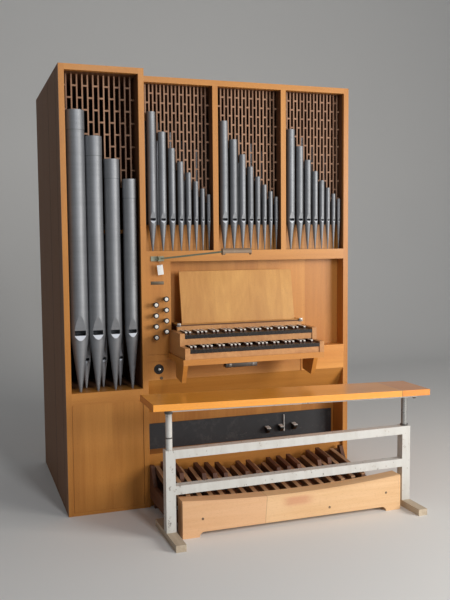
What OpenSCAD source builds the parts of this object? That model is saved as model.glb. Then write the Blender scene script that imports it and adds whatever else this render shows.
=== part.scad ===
// Small two-manual church organ: bass tower, three pipe bays, console, pedalboard and bench.
// Millimetres, +Z up, front towards -Y. The origin is the centre of the case's footprint on the floor.

/* [Case] */
// Width over the whole case
case_w = 1753; // [1600:1:2000]
// Depth of the case
case_d = 1165; // [900:5:1300]
// Height of the case over the pipe bays
case_h = 2464; // [2420:1:2600]
// Thickness of the case boards
board_t = 32; // [24:1:38]
// Width of the bass tower
tower_w = 471; // [460:1:500]
// Height of the bass tower
tower_h = 2505; // [2470:1:2700]
// Height of the tower's pipe shelf
tower_shelf_z = 700; // [640:1:760]
// Height of the rail in front of the tower's pipe shelf
tower_rail_h = 67; // [40:1:90]
// Height of the bays' pipe shelf
bay_shelf_z = 1488; // [1480:1:1540]
// Height of the rail in front of the bays' pipe shelf
impost_h = 61; // [50:1:70]
// Thickness of the pipe shelves
shelf_t = 25; // [18:1:30]
// Depth of the pipe shelves
shelf_d = 420; // [380:5:500]
// Centre of the first mullion from the tower's left face
mullion_1_x = 890; // [870:1:900]
// Centre of the second mullion from the tower's left face
mullion_2_x = 1318; // [1300:1:1330]
// Thickness of the thin panels
panel_t = 18; // [12:1:22]
// Set-back of the tower's door from its posts
door_setback = 3; // [2:1:8]
// Play round the tower's door
door_play = 2; // [1:0.5:4]

/* [Grilles] */
// Distance between the slats of the tower's grille
tower_slat_pitch = 30; // [26:0.5:36]
// Distance between the slats of the bay grilles
bay_slat_pitch = 22.4; // [20:0.2:26]
// Width of a slat
slat_w = 8; // [6:0.5:10]
// Thickness of the grilles
grille_t = 10; // [8:1:14]
// Distance between rows of cross pieces, as a number of slat pitches
cross_rows = 2.2; // [1.8:0.1:2.6]
// The same distance in the bay grilles
bay_cross_rows = 2.36; // [2:0.02:2.6]
// Height of a cross piece
cross_h = 9; // [6:0.5:12]
// Set-back of the tower's grille from the front
tower_grille_y = 107; // [106:1:130]
// Set-back of the bay grilles from the front
bay_grille_y = 66; // [62:1:80]
// How far a grille reaches down behind the top of each pipe
grille_lap = 45; // [30:1:80]

/* [Tower pipes] */
// Radius of the longest front pipe
tower_pipe_r = 51.5; // [48:0.5:53]
// Sounding length of the longest front pipe
tower_pipe_len = 1242; // [1100:1:1260]
// Radius of each pipe as a share of the one before it
tower_taper = 0.905; // [0.88:0.005:0.92]
// Length of each pipe as a share of the one before it
tower_ratio = 0.889; // [0.86:0.001:0.91]
// Clear space between the first two front pipes
tower_pipe_gap = 1.5; // [1.4:0.1:3]
// Centre of the first front pipe from the tower's left face
tower_pipe_x = 90; // [86:0.5:94]
// Distance of the front pipes' centres from the front
tower_pipe_y = 50; // [48:1:52]
// Height of the front pipes' feet
tower_foot = 322; // [300:1:340]
// Wall of the tower pipes
tower_wall = 1.6; // [1.2:0.1:2.5]
// Length of the sleeve round the top of a tower pipe
sleeve_len = 108; // [60:1:120]
// Thickness of that sleeve
sleeve_t = 1; // [0.6:0.1:1]
// Radius of the first rear pipe
rear_pipe_r = 28; // [24:0.5:30]
// Sounding length of the first rear pipe
rear_pipe_len = 880; // [700:1:900]
// Distance of the rear pipes' centres from the front
rear_pipe_y = 158; // [156:1:180]
// Height of the bar that steadies the tower pipes
tower_rack_z = 1590; // [1500:5:1700]
// Height of the rear pipes' feet
rear_foot = 160; // [140:1:180]

/* [Bay pipes] */
// Radius of the longest pipe in a bay
bay_pipe_r = 25; // [20:0.5:26]
// Radius of each pipe as a share of the one before it
bay_pipe_taper = 0.888; // [0.88:0.002:0.9]
// Sounding lengths of the longest pipe in each bay
bay_pipe_len = [613, 579, 547];
// Length of each pipe as a share of the one before it
bay_pipe_ratio = 0.82; // [0.8:0.005:0.84]
// Number of pipes in a bay
bay_pipe_count = 8; // [6:1:9]
// Clear space left of a bay's first pipe
bay_margin_l = 21; // [15:1:28]
// Clear space right of a bay's last pipe
bay_margin_r = 6; // [3:1:12]
// Distance of the bay pipes' centres from the front
bay_pipe_y = 35; // [30:1:38]
// Height of the bay pipes' feet
bay_foot = 172; // [160:1:185]
// Wall of the bay pipes
bay_wall = 1; // [0.8:0.1:1.4]
// Number of inner pipes behind each bay grille
inner_count = 5; // [3:1:6]
// Radius of the inner pipes
inner_pipe_r = 12; // [9:0.5:15]
// Sounding length of the longest inner pipe
inner_pipe_len = 640; // [500:5:700]
// Distance of the inner pipes' centres from the front
inner_pipe_y = 200; // [160:5:260]
// Height of the boards behind the pipe feet
backboard_h = 150; // [120:1:160]
// Height of the rack bars behind the pipes
rack_h = 20; // [12:1:28]

/* [Pipe mouths] */
// Width of a mouth as a share of the pipe's diameter
mouth_share = 0.62; // [0.55:0.01:0.7]
// Height of a mouth as a share of its width
cut_up = 0.42; // [0.3:0.01:0.5]
// Height of the flat upper lip as a share of the diameter
upper_lip = 0.8; // [0.6:0.05:1.2]
// Height of the flat lower lip as a share of the diameter
lower_lip = 0.42; // [0.3:0.02:0.6]
// Radius of a foot's tip as a share of the pipe's radius
tip_share = 0.16; // [0.12:0.01:0.3]

/* [Console] */
// Right edge of the stop jamb from the tower's left face
jamb_x = 611; // [600:1:620]
// Depth of the console niche
niche_d = 83; // [70:1:110]
// Height of the groove over the switch panel
switch_panel_top = 852; // [840:1:860]
// Height of the lower edge of the switch panel
switch_panel_z = 752; // [748:1:780]
// Width and depth of the grooves in the jamb and in the tower's side
groove = 3; // [1:0.5:3]
// Distances of the two upright grooves in the tower's side from the front
side_groove_1_y = 135; // [100:5:200]
side_groove_2_y = 486; // [400:2:540]
// Height of the top of the keydesk board
desk_board_z = 902; // [890:1:912]
// Thickness of the keydesk board
desk_board_t = 32; // [25:1:38]
// Reach of the keydesk board in front of the case
desk_reach = 317; // [300:1:340]
// Width of the overhang of the keydesk board beside the cheeks
desk_side = 10; // [5:1:20]
// Height of the lower end of the brackets under the keydesk board
bracket_z = 770; // [755:1:800]
// Thickness of those brackets
bracket_t = 25; // [20:1:36]
// Distance of the right bracket from the right end of the board
bracket_inset = 40; // [20:1:60]
// How far the front edge of a bracket slopes back
bracket_slope = 42; // [20:1:60]
// Length of a bracket
bracket_l = 157; // [120:1:200]
// Rise of a bracket's lower edge to the back
bracket_rise = 16; // [5:1:30]
// Height of the top of the side ledge
ledge_z = 893; // [885:1:900]
// Height of the front of the side ledge
ledge_h = 45; // [35:1:50]
// Reach of the side ledge in front of the case
ledge_reach = 10; // [8:1:20]
// Reach of the block under the side ledge
ledge_block_reach = 6; // [3:1:8]
// Play between the ledge and the keydesk
ledge_play = 1; // [0.5:0.5:3]
// Height at which the knee panel starts to slope
knee_z = 745; // [735:1:748]
// Depth of the knee space behind the front
knee_d = 124; // [110:1:140]
// Height at which the slope of the knee panel ends
knee_low_z = 530; // [500:1:560]

/* [Music desk] */
// Left edge of the music desk from the tower's left face
music_x = 664; // [640:1:680]
// Width of the music desk
music_w = 705; // [650:1:730]
// Height of the music desk
music_h = 298; // [280:1:320]
// Thickness of the music desk
music_t = 14; // [10:1:18]
// Height of its lower edge
music_z = 1070; // [1055:1:1080]
// Distance of its lower edge in front of the case
music_y = 40; // [30:1:50]
// Lean of the music desk
music_lean = 10; // [5:0.5:15]
// Thickness of the shelf under the music desk
music_shelf_t = 12; // [8:1:16]

/* [Manuals] */
// Width of a natural key with its gap
key_pitch = 23.5; // [23:0.1:24]
// Number of octaves in full
octaves = 4; // [3:1:5]
// Natural keys past the last full octave
extra_naturals = 5; // [1:1:5]
// Gap between keys
key_gap = 1; // [0.8:0.1:1.5]
// Left edge of the keys from the tower's left face
keys_x = 628; // [624:1:636]
// Height of the lower manual's natural keys
lower_key_z = 955; // [950:1:960]
// Height from one manual to the other
manual_rise = 69; // [64:1:80]
// Depth from one manual to the other
manual_step = 99; // [90:1:110]
// Thickness of a natural key
natural_t = 20; // [16:1:24]
// Length of a natural key that a sharp key leaves whole
natural_head = 49; // [45:1:52]
// Length of the keys
key_len = 150; // [140:1:160]
// Width of a sharp key
sharp_w = 11; // [9:0.5:12]
// Height of a sharp key over the naturals
sharp_rise = 13.5; // [9:0.5:15]
// Length of the slope at the front of a sharp key
sharp_bevel = 6; // [3:0.5:8]
// Clearance round a sharp key
sharp_gap = 1; // [0.8:0.1:1.5]
// Width of the cheeks beside the keys
cheek_w = 28; // [24:1:32]
// Height of the cheeks over the natural keys
cheek_rise = 9; // [4:1:14]
// Thickness of the slips
slip_t = 12; // [8:1:16]
// Reach of the lower slip in front of the keys
slip_reach = 6; // [4:1:12]

/* [Draw stops] */
// Radius of the ring of a stop knob
stop_r = 16; // [13:0.5:18]
// Radius of the white face of a stop knob
stop_face_r = 11.5; // [10:0.5:12]
// Reach of a stop knob in front of the jamb
stop_reach = 44; // [38:1:50]
// Clear space behind a stop knob that is pushed in
stop_rest = 6; // [5.5:0.5:8]
// Radius of a stop's stem
stem_r = 6; // [5:0.5:7]
// Clearance round a stem in the jamb
stem_gap = 0.4; // [0.3:0.05:0.6]
// Travel of a stop
stop_travel = 25; // [20:1:30]
// Distance between the two columns of stops
stop_columns = 60; // [56:1:64]
// Centre of the right column from the tower's left face
stop_x = 573; // [568:1:574]
// Height of the highest stop
stop_z = 1214; // [1200:1:1230]
// Distance between the stops of a column
stop_pitch = 62; // [56:1:68]
// Length of a knob's head
stop_head = 12; // [9:1:15]
// Height of the rim on a knob's head
stop_rim = 4; // [2:0.5:6]
// How much thinner a knob's neck is than its rim
stop_neck_in = 5; // [3:0.5:6]
// Thickness of the rim's front and rise of the face
stop_face_rise = 2; // [1:0.5:3]
// Width and thickness of the catch behind the jamb
stop_catch = 5; // [3:0.5:6]
// Radius of the blower switch
switch_r = 24; // [20:0.5:27]
// Reach of the blower switch
switch_reach = 12; // [8:1:16]
// Bevel round the blower switch
switch_bevel = 4; // [2:0.5:6]
// Height of the centre of the blower switch
switch_z = 808; // [804:1:812]
// Centre of the blower switch from the tower's left face
switch_x = 533; // [526:1:545]

/* [Lamp] */
// Height of the lamp's arm
lamp_z = 1444; // [1440:1:1450]
// Centre of the lamp's pivot from the tower's left face
lamp_x = 541; // [530:1:550]
// Distance of the pivot from the front
lamp_pivot_y = 24; // [20:1:30]
// Width of the lamp's bracket
lamp_bracket_w = 76; // [60:1:90]
// Height of the lamp's bracket
lamp_bracket_h = 28; // [22:1:30]
// Thickness of the bracket's plate
lamp_plate_t = 6; // [4:0.5:8]
// Width of the bracket's ears
lamp_ear_w = 20; // [18:1:24]
// Reach of an ear past the pin, and wall of the arm's eye
lamp_eye_wall = 4; // [3:0.5:5]
// Radius of the pivot's pin
lamp_pin_r = 4; // [3:0.5:5]
// Clearance round the pivot's pin
lamp_pin_gap = 0.3; // [0.25:0.05:0.5]
// Radius of the lamp's arm
lamp_arm_r = 5; // [4:0.5:6]
// How far the shade's near end lies to the right of the pivot
lamp_arm_x = 285; // [250:1:320]
// How far the shade lies in front of the pivot
lamp_arm_y = 275; // [240:1:300]
// Rise of the arm to the shade
lamp_arm_rise = 40; // [30:1:50]
// Radius of the lamp's shade
shade_r = 18; // [15:0.5:22]
// Length of the lamp's shade
shade_len = 168; // [140:1:200]
// Wall of the lamp's shade
shade_wall = 1.5; // [1:0.1:2.5]

/* [Lower front] */
// Left edge of the kick panel from the tower's left face
kick_x = 500; // [490:1:520]
// Right edge of the kick panel from the tower's left face
kick_right_x = 1702; // [1690:1:1712]
// Lower edge of the kick panel
kick_z = 308; // [306:1:316]
// Upper edge of the kick panel
kick_top_z = 461; // [440:1:480]
// Thickness of the kick panel
kick_t = 8; // [5:1:12]
// Top of the toe rail
toe_rail_z = 308; // [295:1:308]
// Height of the toe rail
toe_rail_h = 22; // [16:1:28]
// Set-back of the toe board from the front
toe_setback = 20; // [12:1:40]
// Centre of the first toe lever from the tower's left face
lever_x = 1250; // [1230:1:1270]
// Distance between the toe levers
lever_pitch = 90; // [80:1:95]
// Height of the toe levers over the toe rail
lever_rise = 76; // [60:1:90]
// Width of a toe lever's plate
lever_plate_w = 26; // [20:1:32]
// Reach of a toe lever in front of the kick panel
lever_reach = 52; // [40:1:70]
// Width and height of a toe lever's stem
lever_stem_w = 18; // [12:1:20]
lever_stem_h = 40; // [30:1:46]
// Slope of a toe lever's plate
lever_tilt = 8; // [4:0.5:12]
// Thickness of a toe lever's plate
lever_plate_t = 4; // [2:0.5:6]
// Radius of the upright rod beside the middle lever
rod_r = 3.5; // [2.5:0.5:5]
// Length of that rod
rod_len = 105; // [80:1:120]

/* [Pedalboard] */
// Middle of the pedalboard from the tower's left face
pedal_mid = 1160; // [1150:1:1170]
// Width of the pedalboard
pedal_w = 1296; // [1280:1:1320]
// Distance of the pedalboard's front from the case's front
pedal_reach = 534; // [500:1:560]
// Height of the pedalboard's ends
pedal_end_h = 200; // [185:1:215]
// Dip of the pedalboard from its ends to its middle
pedal_dip = 30; // [20:1:40]
// Thickness of the front board
pedal_front_t = 90; // [60:1:100]
// Bevel along the front board's upper edge
pedal_bevel = 7; // [4:1:12]
// Height of the cut-out under the front board
pedal_foot_h = 26; // [15:1:35]
// Length of the feet of the front board
pedal_foot_l = 92; // [70:1:110]
// Thickness of the pedalboard's sides and cross rails
pedal_side_t = 23; // [18:1:24]
// Length of the pedalboard
pedal_len = 524; // [480:1:526]
// Distance from one natural pedal to the next
pedal_pitch = 65.7; // [64:0.1:67]
// Centre of the first natural pedal from the tower's left face
pedal_first_x = 505; // [502:1:515]
// Radius of the hollow in which the pedals lie
pedal_hollow_r = 3400; // [3000:50:7000]
// Height of the fronts of the middle pedals
pedal_front_z = 160; // [150:1:165]
// Rise of the pedals to their tails
pedal_rise = 43; // [20:1:50]
// Space between the last pedal and the right side
pedal_margin_r = 43; // [20:1:60]
// Number of natural pedals
pedal_naturals_n = 18; // [16:1:18]
// Width of a pedal
pedal_key_w = 24; // [20:1:28]
// Height of a natural pedal
pedal_key_h = 38; // [30:1:45]
// Rise of a sharp pedal over the naturals
pedal_sharp_rise = 28; // [20:1:36]
// Length of the slope at the nose of a sharp pedal
pedal_nose = 12; // [6:1:20]
// Distance of a sharp pedal's nose from the front board
pedal_sharp_y = 230; // [180:1:260]
// Gap between the pedals and the frame
pedal_gap = 3; // [2:0.5:6]
// Height of the lower edge of the pedalboard's sides
pedal_side_z = 60; // [45:1:80]
// Height of the front ends of the pedalboard's sides
pedal_side_front = 150; // [130:1:160]
// Length of the raised rear end of the sides, and of the slope in front of it
pedal_horn = 30; // [20:1:50]
// Height of the pedalboard's cross rails
pedal_rail_h = 60; // [40:1:80]

/* [Bench] */
// How far the seat reaches past the right post's centre
seat_over = 80; // [60:1:90]
// How much further it reaches past the left one
seat_left = 36; // [0:1:40]
// Depth of the bench's seat
seat_d = 275; // [260:1:320]
// Height of the middle of the bench's seat
seat_z = 719; // [700:1:740]
// Thickness of the seat
seat_t = 34; // [26:1:38]
// Fall of the seat to the right in degrees
seat_tilt = 1.4; // [0:0.1:2]
// Middle of the bench to the right of the pedalboard's middle
bench_off = 2; // [-8:1:8]
// Distance of the bench's centre from the case's front
bench_y = 480; // [470:1:500]
// Turn of the bench on the floor in degrees
bench_turn = 0.75; // [-1:0.25:1]
// Distance of a post's centre from the pedalboard's side
post_clear = 57.5; // [56:0.5:62]
// Width of an outer post
post_w = 52; // [40:1:54]
// Top of the outer posts
post_top = 470; // [460:1:490]
// Radius of an inner post
inner_post_r = 17; // [14:0.5:19]
// Height of the bench's rails
rail_h = 46; // [38:1:50]
// Thickness of the bench's rails
rail_t = 50; // [20:1:54]
// Wall of the outer posts
post_wall = 3; // [2:0.5:4]
// Height of the bushes in the tops of the outer posts
bush_h = 8; // [5:1:12]
// Play of the inner posts in the bushes
bush_gap = 0.3; // [0.2:0.05:0.5]
// Top of the lower rail
rail_low_z = 280; // [270:1:300]
// Height of the bench's feet
foot_h = 36; // [30:1:40]
// Length of the bench's feet
foot_l = 400; // [380:1:420]
// Width of the bench's feet
foot_w = 54; // [46:1:56]
// Size of the tubes under the seat
seat_tube = 12; // [8:1:20]
// Distance between the tubes under the seat
seat_tube_span = 200; // [180:1:220]

/* [Hidden] */
// Clearance that the cuts at the lips need in front of a pipe
lip_clear = 2;
// Overshoot of a cut
over = 1;
fine = 48;
inner_l = board_t;
inner_r = tower_w - board_t;
side_in = case_w - board_t;
tower_open_top = tower_h - board_t;
bay_open_top = case_h - board_t;
niche_top = bay_shelf_z - impost_h;
bay_left = [tower_w, mullion_1_x + board_t / 2, mullion_2_x + board_t / 2];
bay_right = [mullion_1_x - board_t / 2, mullion_2_x - board_t / 2, side_in];
backboard_y = bay_grille_y + grille_t;
tower_mouth_z = tower_shelf_z + tower_foot;
bay_mouth_z = bay_shelf_z + bay_foot;
rack_y = tower_grille_y;
naturals_n = 7 * octaves + extra_naturals;
keys_w = naturals_n * key_pitch;
upper_key_z = lower_key_z + manual_rise;
keys_right = keys_x + keys_w;
stop_rows = 4;
jamb_t = panel_t + 2;
arm_run = norm([lamp_arm_x, lamp_arm_y]);
arm_turn = atan2(-lamp_arm_y, lamp_arm_x);
arm_tilt = atan2(lamp_arm_rise, arm_run);
arm_len = norm([arm_run, lamp_arm_rise]);
knee_back = knee_d + kick_t;
pedal_x = pedal_mid - pedal_w / 2;
post_span = pedal_w + 2 * post_clear;
seat_l = post_span + 2 * seat_over + seat_left;
bench_x = pedal_mid + bench_off;
lever_slope = tan(lever_tilt);
socket_depth = 3 * lamp_arm_r;
pedal_radius = (pow(pedal_w / 2, 2) + pow(pedal_dip, 2)) / (2 * pedal_dip);
pedal_front_y = -pedal_reach;
pedal_key_y = pedal_front_y + pedal_front_t + pedal_gap;
pedal_back_y = pedal_front_y + pedal_len;
pedal_key_len = pedal_back_y - pedal_side_t - pedal_key_y;
pedal_last_x = pedal_first_x + (pedal_naturals_n - 1) * pedal_pitch;
pedal_inner_l = pedal_first_x - pedal_key_w / 2 - pedal_gap;
pedal_inner_r = pedal_last_x + pedal_key_w / 2 + pedal_margin_r;
pedal_keys_mid = (pedal_inner_l + pedal_inner_r) / 2;
lever_z = toe_rail_z + lever_rise;
sharp_after = [0, 1, 3, 4, 5];

// Radius and sounding length of a front pipe in a bay
function bay_r(k) = bay_pipe_r * pow(bay_pipe_taper, k);
function bay_len(bay, k) = bay_pipe_len[bay] * pow(bay_pipe_ratio, k);
// Sum of the diameters of the first n pipes of a bay
function bay_span(n) = n == 0 ? 0 : bay_span(n - 1) + 2 * bay_r(n - 1);
function bay_gap(bay) = (bay_right[bay] - bay_left[bay] - bay_margin_l - bay_margin_r
    - bay_span(bay_pipe_count)) / (bay_pipe_count - 1);
function bay_x(bay, k) = bay_left[bay] + bay_margin_l + bay_span(k) + bay_r(k) + k * bay_gap(bay);
function bay_top(bay, k) = bay_mouth_z + bay_len(bay, k);
function tower_r(k) = tower_pipe_r * pow(tower_taper, k);
function tower_top(k) = tower_mouth_z + tower_pipe_len * pow(tower_ratio, k);
tower_pipe_pitch = tower_r(0) + tower_r(1) + tower_pipe_gap;
// Whether a key has a sharp key after it or before it
function sharp_follows(i) = len(search(i % 7, sharp_after)) > 0;
function sharp_leads(i) = i > 0 && sharp_follows(i - 1);
// Height of the pedals' fronts at a place along the pedalboard's width
function pedal_hollow(x) = pedal_front_z + pedal_hollow_r
    - sqrt(pow(pedal_hollow_r, 2) - pow(x - pedal_keys_mid, 2));

// Moves a piece from the tower's left front corner to the part's origin
module placed() {
    translate([-case_w / 2, -case_d / 2, 0]) children();
}

// A board between two corners
module board(low, high) {
    translate(low) cube(high - low);
}

module tower_sides() {
    color("peru") placed() {
        difference() {
            board([0, 0, 0], [board_t, case_d, tower_h]);
            for (y = [side_groove_1_y, side_groove_2_y])
                board([-over, y - groove / 2, -over], [groove, y + groove / 2, tower_h + over]);
        }
        board([inner_r, 0, 0], [tower_w, case_d, tower_h]);
    }
}

module top_boards() {
    color("peru") placed() {
        board([inner_l, 0, tower_open_top], [inner_r, case_d, tower_h]);
        board([tower_w, 0, bay_open_top], [side_in, case_d, case_h]);
    }
}

module floor_boards() {
    color("peru") placed() {
        board([inner_l, 0, 0], [inner_r, case_d, panel_t]);
        board([tower_w, knee_back + panel_t, 0], [side_in, case_d, panel_t]);
    }
}

module back_boards() {
    color("peru") placed() {
        board([inner_l, case_d - panel_t, panel_t], [inner_r, case_d, tower_open_top]);
        board([tower_w, case_d - panel_t, panel_t], [side_in, case_d, bay_open_top]);
    }
}

module case_side() {
    color("peru") placed() board([side_in, 0, 0], [case_w, case_d, case_h]);
}

module mullions() {
    color("peru") placed() for (x = [mullion_1_x, mullion_2_x])
        board([x - board_t / 2, 0, bay_shelf_z], [x + board_t / 2, bay_grille_y + grille_t, bay_open_top]);
}

module tower_chest() {
    color("burlywood") placed() {
        board([inner_l, 0, tower_shelf_z - tower_rail_h], [inner_r, board_t, tower_shelf_z]);
        board([inner_l, board_t, tower_shelf_z - shelf_t], [inner_r, shelf_d, tower_shelf_z]);
    }
}

module tower_door() {
    color("peru") placed()
        board([inner_l + door_play, door_setback, panel_t],
            [inner_r - door_play, door_setback + panel_t, tower_shelf_z - tower_rail_h]);
}

module bay_shelf() {
    color("burlywood") placed() {
        board([tower_w, 0, bay_shelf_z - shelf_t], [side_in, shelf_d, bay_shelf_z]);
        board([tower_w, 0, niche_top], [side_in, board_t, bay_shelf_z - shelf_t]);
    }
}

// Boards behind the feet of the bay pipes, and the bars that steady the tower pipes
module pipe_supports() {
    color("burlywood") placed() {
        for (bay = [0:2])
            board([bay_left[bay], backboard_y, bay_shelf_z],
                [bay_right[bay], backboard_y + panel_t, bay_shelf_z + backboard_h]);
        board([inner_l, rack_y, tower_rack_z], [inner_r, rack_y + panel_t, tower_rack_z + rack_h]);
    }
}

// Outline of a grille in its own plane: slats in running bond with short cross pieces.
// Each slat ends behind the pipe in front of it, at the height low(x).
module grille(x0, x1, top, pitch, rows, y, tops, edges) {
    n = floor((x1 - x0) / pitch);
    side = (x1 - x0 - (n - 1) * pitch) / 2;
    rise = pitch * rows;
    translate([0, y + grille_t, 0]) rotate([90, 0, 0]) linear_extrude(grille_t) {
        for (i = [0:n - 1]) {
            x = x0 + side + i * pitch;
            low = foot_of(x, tops, edges);
            translate([x - slat_w / 2, low]) square([slat_w, top - low]);
        }
        // Every second gap has a cross piece in a row, and the gaps take turns from row to row
        for (i = [-1:n - 1], row = [1:ceil((top - min(tops)) / rise)]) {
            left = i < 0 ? x0 : x0 + side + i * pitch;
            right = i == n - 1 ? x1 : x0 + side + (i + 1) * pitch;
            low = max(foot_of(left, tops, edges), foot_of(right, tops, edges));
            if ((i + row) % 2 == 0 && top - row * rise > low)
                translate([left, top - row * rise]) square([right - left, cross_h]);
        }
    }
}

// Lower end of a slat: a lap below the top of the pipe whose stretch holds x
function foot_of(x, tops, edges, k = 0) =
    k >= len(tops) - 1 || x < edges[k] ? tops[k] - grille_lap : foot_of(x, tops, edges, k + 1);

module tower_grille() {
    tops = [for (k = [0:3]) tower_top(k)];
    edges = [for (k = [0:3]) tower_pipe_x + tower_pipe_pitch * (k + 0.5)];
    color("tan") placed()
        grille(inner_l, inner_r, tower_open_top, tower_slat_pitch, cross_rows, tower_grille_y, tops,
            edges);
}

module bay_grille(bay) {
    last = bay_pipe_count - 1;
    tops = [for (k = [0:last]) bay_top(bay, k)];
    edges = [for (k = [0:last]) k < last ? (bay_x(bay, k) + bay_x(bay, k + 1)) / 2 : bay_right[bay]];
    color("tan") placed()
        grille(bay_left[bay], bay_right[bay], bay_open_top, bay_slat_pitch, bay_cross_rows,
            bay_grille_y, tops, edges);
}

// A metal flue pipe that stands on its foot's tip at the origin, with its mouth towards -Y:
// hollow body, flat upper and lower lips, languid and hollow conical foot.
module flue_pipe(r, foot, len, wall, sleeve = 0) {
    mouth_w = 2 * r * mouth_share;
    mouth_h = round(10 * mouth_w * cut_up) / 10;
    sink = r - sqrt(r * r - pow(mouth_w / 2, 2));
    lip_h = 2 * r * upper_lip;
    chin_h = 2 * r * lower_lip;
    tip_r = r * tip_share;
    top = foot + len;
    mouth_z = foot + lip_clear;
    difference() {
        union() {
            cylinder(h = foot, r1 = tip_r, r2 = r, $fn = fine);
            translate([0, 0, foot]) cylinder(h = len, r = r, $fn = fine);
            if (sleeve > 0) translate([0, 0, top - sleeve])
                cylinder(h = sleeve, r = r + sleeve_t, $fn = fine);
        }
        translate([0, 0, foot]) cylinder(h = len + over, r = r - wall, $fn = fine);
        difference() {
            translate([0, 0, -over]) cylinder(h = foot + over - wall, r1 = tip_r - wall * 0.6,
                r2 = r - wall, $fn = fine);
            lip_block(r, mouth_z, -chin_h, sink + wall * 2);
        }
        // The space in front of the two flat lips, and the mouth between them
        lip_wedge(r, mouth_z, -chin_h, sink);
        lip_wedge(r, mouth_z + mouth_h, lip_h, sink);
        translate([wall - mouth_w / 2, -r - lip_clear, mouth_z])
            cube([mouth_w - 2 * wall, r / 2 + lip_clear, mouth_h]);
    }
    // The upper lip closes the body behind its wedge
    intersection() {
        translate([0, 0, foot]) cylinder(h = len, r = r - wall / 2, $fn = fine);
        lip_plate(r, mouth_z + mouth_h, lip_h, sink, wall);
    }
}

// Side view of a lip: sunk by its full depth at the mouth, and running out past the body at its far end
module lip_wedge(r, z, h, sink) {
    run_out = h * (sink + lip_clear) / sink;
    translate([-r, 0, 0]) rotate([90, 0, 90]) linear_extrude(2 * r)
        polygon([[-r - lip_clear, z], [-r + sink, z], [-r - lip_clear, z + run_out]]);
}

module lip_plate(r, z, h, sink, wall) {
    run_out = h * (sink + lip_clear) / sink;
    translate([-r, 0, 0]) rotate([90, 0, 90]) linear_extrude(2 * r)
        polygon([[-r + sink, z], [-r + sink + wall, z], [-r - lip_clear + wall, z + run_out],
            [-r - lip_clear, z + run_out]]);
}

// Solid behind the lower lip, so that the foot stays closed where it is pressed flat
module lip_block(r, z, h, depth) {
    translate([-r, 0, 0]) rotate([90, 0, 90]) linear_extrude(2 * r)
        polygon([[-r - lip_clear, z + lip_clear], [-r + depth, z + lip_clear], [-r + depth, z + h],
            [-r - lip_clear, z + h]]);
}

module tower_pipes() {
    color("silver") placed() for (k = [0:3])
        translate([tower_pipe_x + k * tower_pipe_pitch, tower_pipe_y, tower_shelf_z])
            flue_pipe(tower_r(k), tower_foot, tower_top(k) - tower_mouth_z, tower_wall, sleeve_len);
}

module tower_rear_pipes() {
    color("silver") placed() for (k = [0:2])
        translate([tower_pipe_x + (k + 0.5) * tower_pipe_pitch, rear_pipe_y, tower_shelf_z])
            flue_pipe(rear_pipe_r * pow(tower_taper, k), rear_foot,
                rear_pipe_len * pow(tower_ratio, k), tower_wall);
}

module bay_pipes(bay) {
    color("silver") placed() for (k = [0:bay_pipe_count - 1])
        translate([bay_x(bay, k), bay_pipe_y, bay_shelf_z])
            flue_pipe(bay_r(k), bay_foot, bay_len(bay, k), bay_wall);
}

module inner_pipes() {
    color("silver") placed() for (bay = [0:2], k = [0:inner_count - 1]) {
        step = (bay_right[bay] - bay_left[bay]) / inner_count;
        translate([bay_left[bay] + (k + 0.5) * step, inner_pipe_y, bay_shelf_z])
            difference() {
                length = inner_pipe_len * pow(bay_pipe_ratio, k / 2);
                union() {
                    cylinder(h = bay_foot, r1 = inner_pipe_r * tip_share, r2 = inner_pipe_r, $fn = fine);
                    translate([0, 0, bay_foot]) cylinder(h = length, r = inner_pipe_r, $fn = fine);
                }
                translate([0, 0, bay_foot])
                    cylinder(h = length + over, r = inner_pipe_r - bay_wall, $fn = fine);
            }
    }
}

// Centre of a stop: even numbers stand in the right column, half a step higher than the left
function stop_at(i) = [stop_x - (i % 2) * stop_columns,
    stop_z - floor(i / 2) * stop_pitch - (i % 2) * stop_pitch / 2];

module stop_jamb() {
    color("peru") placed() difference() {
        union() {
            board([tower_w, 0, switch_panel_z], [jamb_x, jamb_t, niche_top]);
            board([jamb_x - panel_t, jamb_t, desk_board_z], [jamb_x, niche_d + panel_t, niche_top]);
        }
        for (i = [0:2 * stop_rows - 1])
            translate([stop_at(i)[0], -over, stop_at(i)[1]]) rotate([-90, 0, 0])
                cylinder(h = jamb_t + 2 * over, r = stem_r + stem_gap, $fn = fine);
        for (z = [switch_panel_top, ledge_z])
            board([tower_w - over, -over, z - groove / 2], [jamb_x + over, groove, z + groove / 2]);
    }
}

module console_back() {
    color("peru") placed()
        board([jamb_x, niche_d, ledge_z], [side_in, niche_d + panel_t, niche_top]);
}

// The sloping desk, and the shelf behind the upper keys on which it stands
module music_desk() {
    run = music_h * tan(music_lean);
    depth = music_t / cos(music_lean);
    color("peru") placed() {
        translate([music_x, -music_y, music_z]) rotate([90, 0, 90]) linear_extrude(music_w)
            polygon([[0, 0], [depth, 0], [run + depth, music_h], [run, music_h]]);
        board([keys_x, manual_step + key_len - desk_reach, music_z - music_shelf_t],
            [keys_right, niche_d, music_z]);
    }
}

// A natural key whose front edge lies on y = 0, cut back beside its sharp keys
module natural_key(i) {
    cut = sharp_w / 2 + sharp_gap - key_gap / 2;
    left = sharp_leads(i) ? cut : 0;
    right = sharp_follows(i) && i < naturals_n - 1 ? cut : 0;
    w = key_pitch - key_gap;
    translate([i * key_pitch + key_gap / 2, 0, -natural_t]) {
        cube([w, natural_head, natural_t]);
        translate([left, natural_head - 1, 0])
            cube([w - left - right, key_len - natural_head + 1, natural_t]);
    }
}

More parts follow.
